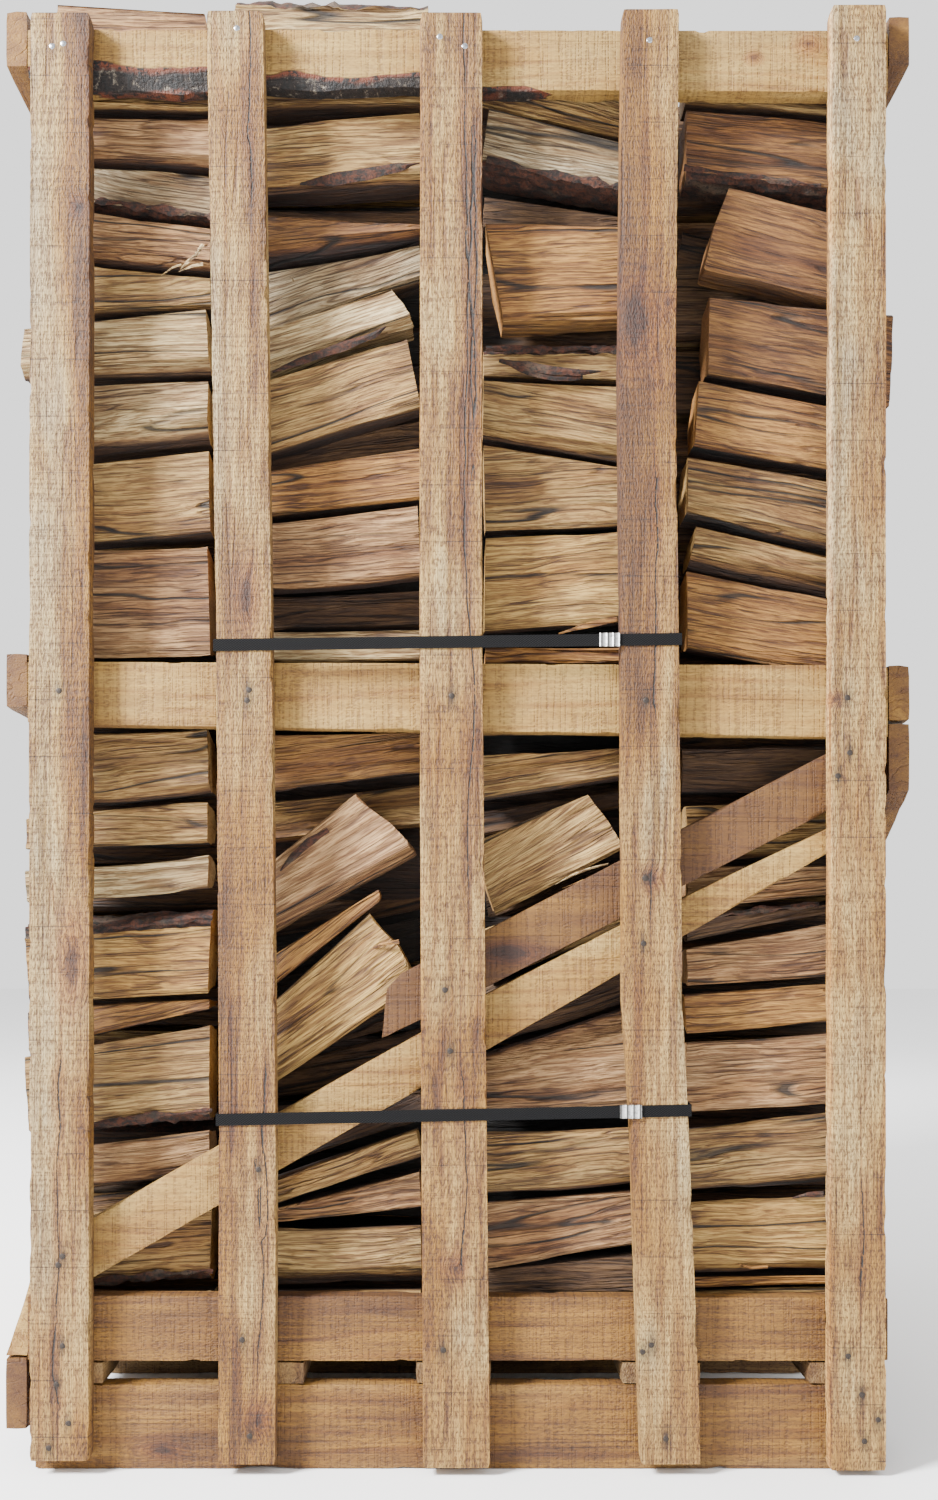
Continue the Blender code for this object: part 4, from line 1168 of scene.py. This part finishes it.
def build_boards(slat, rail, base):
    """Every board of the crate."""
    for number, node in enumerate(sorted(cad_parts)):
        if node.startswith(("log_", "strap", "seal")):
            continue
        if "slat" in node:
            material, slot = slat, "slat_wood"
        elif node.startswith(("base", "deck")) or node == "front_bottom_rail":
            material, slot = base, "base_wood"
        else:
            material, slot = rail, "rail_wood"
        stand_for(build_board(node, material, number + 1), slot, node)


def build_nails(name, places, material):
    """Nail heads, slightly sunk in the front slats: a low cone, its rim and its side."""
    verts = []
    faces = []
    sides = NAIL_SIDES
    for index, (x, z) in enumerate(places):
        base = len(verts)
        verts.append((x * MM, FRONT - 0.25 * MM, z * MM))
        for radius, depth in ((0.75, -0.35), (1.0, 0.2), (1.0, 1.4)):
            for side in range(sides):
                angle = 2 * math.pi * side / sides
                wide = NAIL_RADIUS * radius * (1 + 0.06 * math.sin(3 * angle + index))
                verts.append((x * MM + wide * math.cos(angle), FRONT + depth * MM,
                              z * MM + wide * math.sin(angle)))
        for side in range(sides):
            after = (side + 1) % sides
            faces.append((base, base + 1 + side, base + 1 + after))
            for low in (base + 1, base + 1 + sides):
                faces.append((low + side, low + sides + side, low + sides + after, low + after))
    item = add_mesh(name, np.array(verts), faces, [material])
    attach(item, "root")


def finish_small_parts(finishes):
    """Give the straps and seals, which stay as CAD meshes, their finish."""
    for node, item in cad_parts.items():
        for kind, material in finishes.items():
            if node.startswith(kind):
                item.data.materials.clear()
                item.data.materials.append(material)


def build_studio():
    """Plain pale floor, soft light and the camera."""
    mesh = bpy.data.meshes.new("floor")
    corners = [(-1, -1), (1, -1), (1, 1), (-1, 1)]
    mesh.from_pydata([(x * FLOOR_REACH, y * FLOOR_REACH, 0) for x, y in corners], [], [(0, 1, 2, 3)])
    tree = Tree("floor_white", 0.9)
    tree.shader.inputs["Base Color"].default_value = FLOOR_COLOUR
    mesh.materials.append(tree.material)
    place_object("floor", mesh)
    for name, place, size, power in LIGHTS:
        light = bpy.data.lights.new(name, "AREA")
        light.size = size
        light.energy = power
        x, y, z = np.array(LIGHT_AIM) - np.array(place)
        place_object(name, light, place, (math.atan2(math.hypot(x, y), -z), 0.0, math.atan2(-x, y)))
    world = bpy.data.worlds.new("studio")
    world.use_nodes = True
    background = world.node_tree.nodes["Background"]
    background.inputs["Color"].default_value = (1.0, 1.0, 1.0, 1.0)
    background.inputs["Strength"].default_value = WORLD_STRENGTH
    bpy.context.scene.world = world
    camera = bpy.data.cameras.new("camera")
    camera.lens = CAMERA_LENS
    camera.sensor_width = 36.0
    camera.shift_x, camera.shift_y = CAMERA_SHIFT
    place = (CAMERA_SIDE, FRONT - CAMERA_DISTANCE, CAMERA_HEIGHT)
    bpy.context.scene.camera = place_object("camera", camera, place, (math.pi / 2, 0.0, 0.0))


slat_wood = board_material("slat_board", (0.86, 0.75, 0.52), (0.80, 0.67, 0.42), (0.81, 0.75, 0.62),
                           21 * MM, 1.0, 0.5, 0.85)
rail_wood = board_material("rail_board", (0.87, 0.75, 0.48), (0.83, 0.69, 0.40), (0.80, 0.70, 0.49),
                           17 * MM, 0.4, 0.5, 0.2)
base_wood = board_material("base_board", (0.72, 0.61, 0.43), (0.65, 0.52, 0.34), (0.62, 0.53, 0.41),
                           24 * MM, 0.7, 0.4, 0.0)
log_woods = [split_material(), bark_material(), end_material()]
build_boards(slat_wood, rail_wood, base_wood)
build_front_logs(log_woods)
build_leaning_logs(log_woods)
build_inner_logs(log_woods)
build_bark_edges(log_woods)
build_chips(log_woods)
build_nails("nails_bright", BRIGHT_NAILS, nail_material("nail_bright", (0.75, 0.76, 0.78), 0.3, 1.0))
build_nails("nails_dull", DULL_NAILS, nail_material("nail_dull", (0.22, 0.19, 0.17), 0.6, 0.6))
finish_small_parts({"strap": strap_material(), "seal": seal_material()})
build_studio()
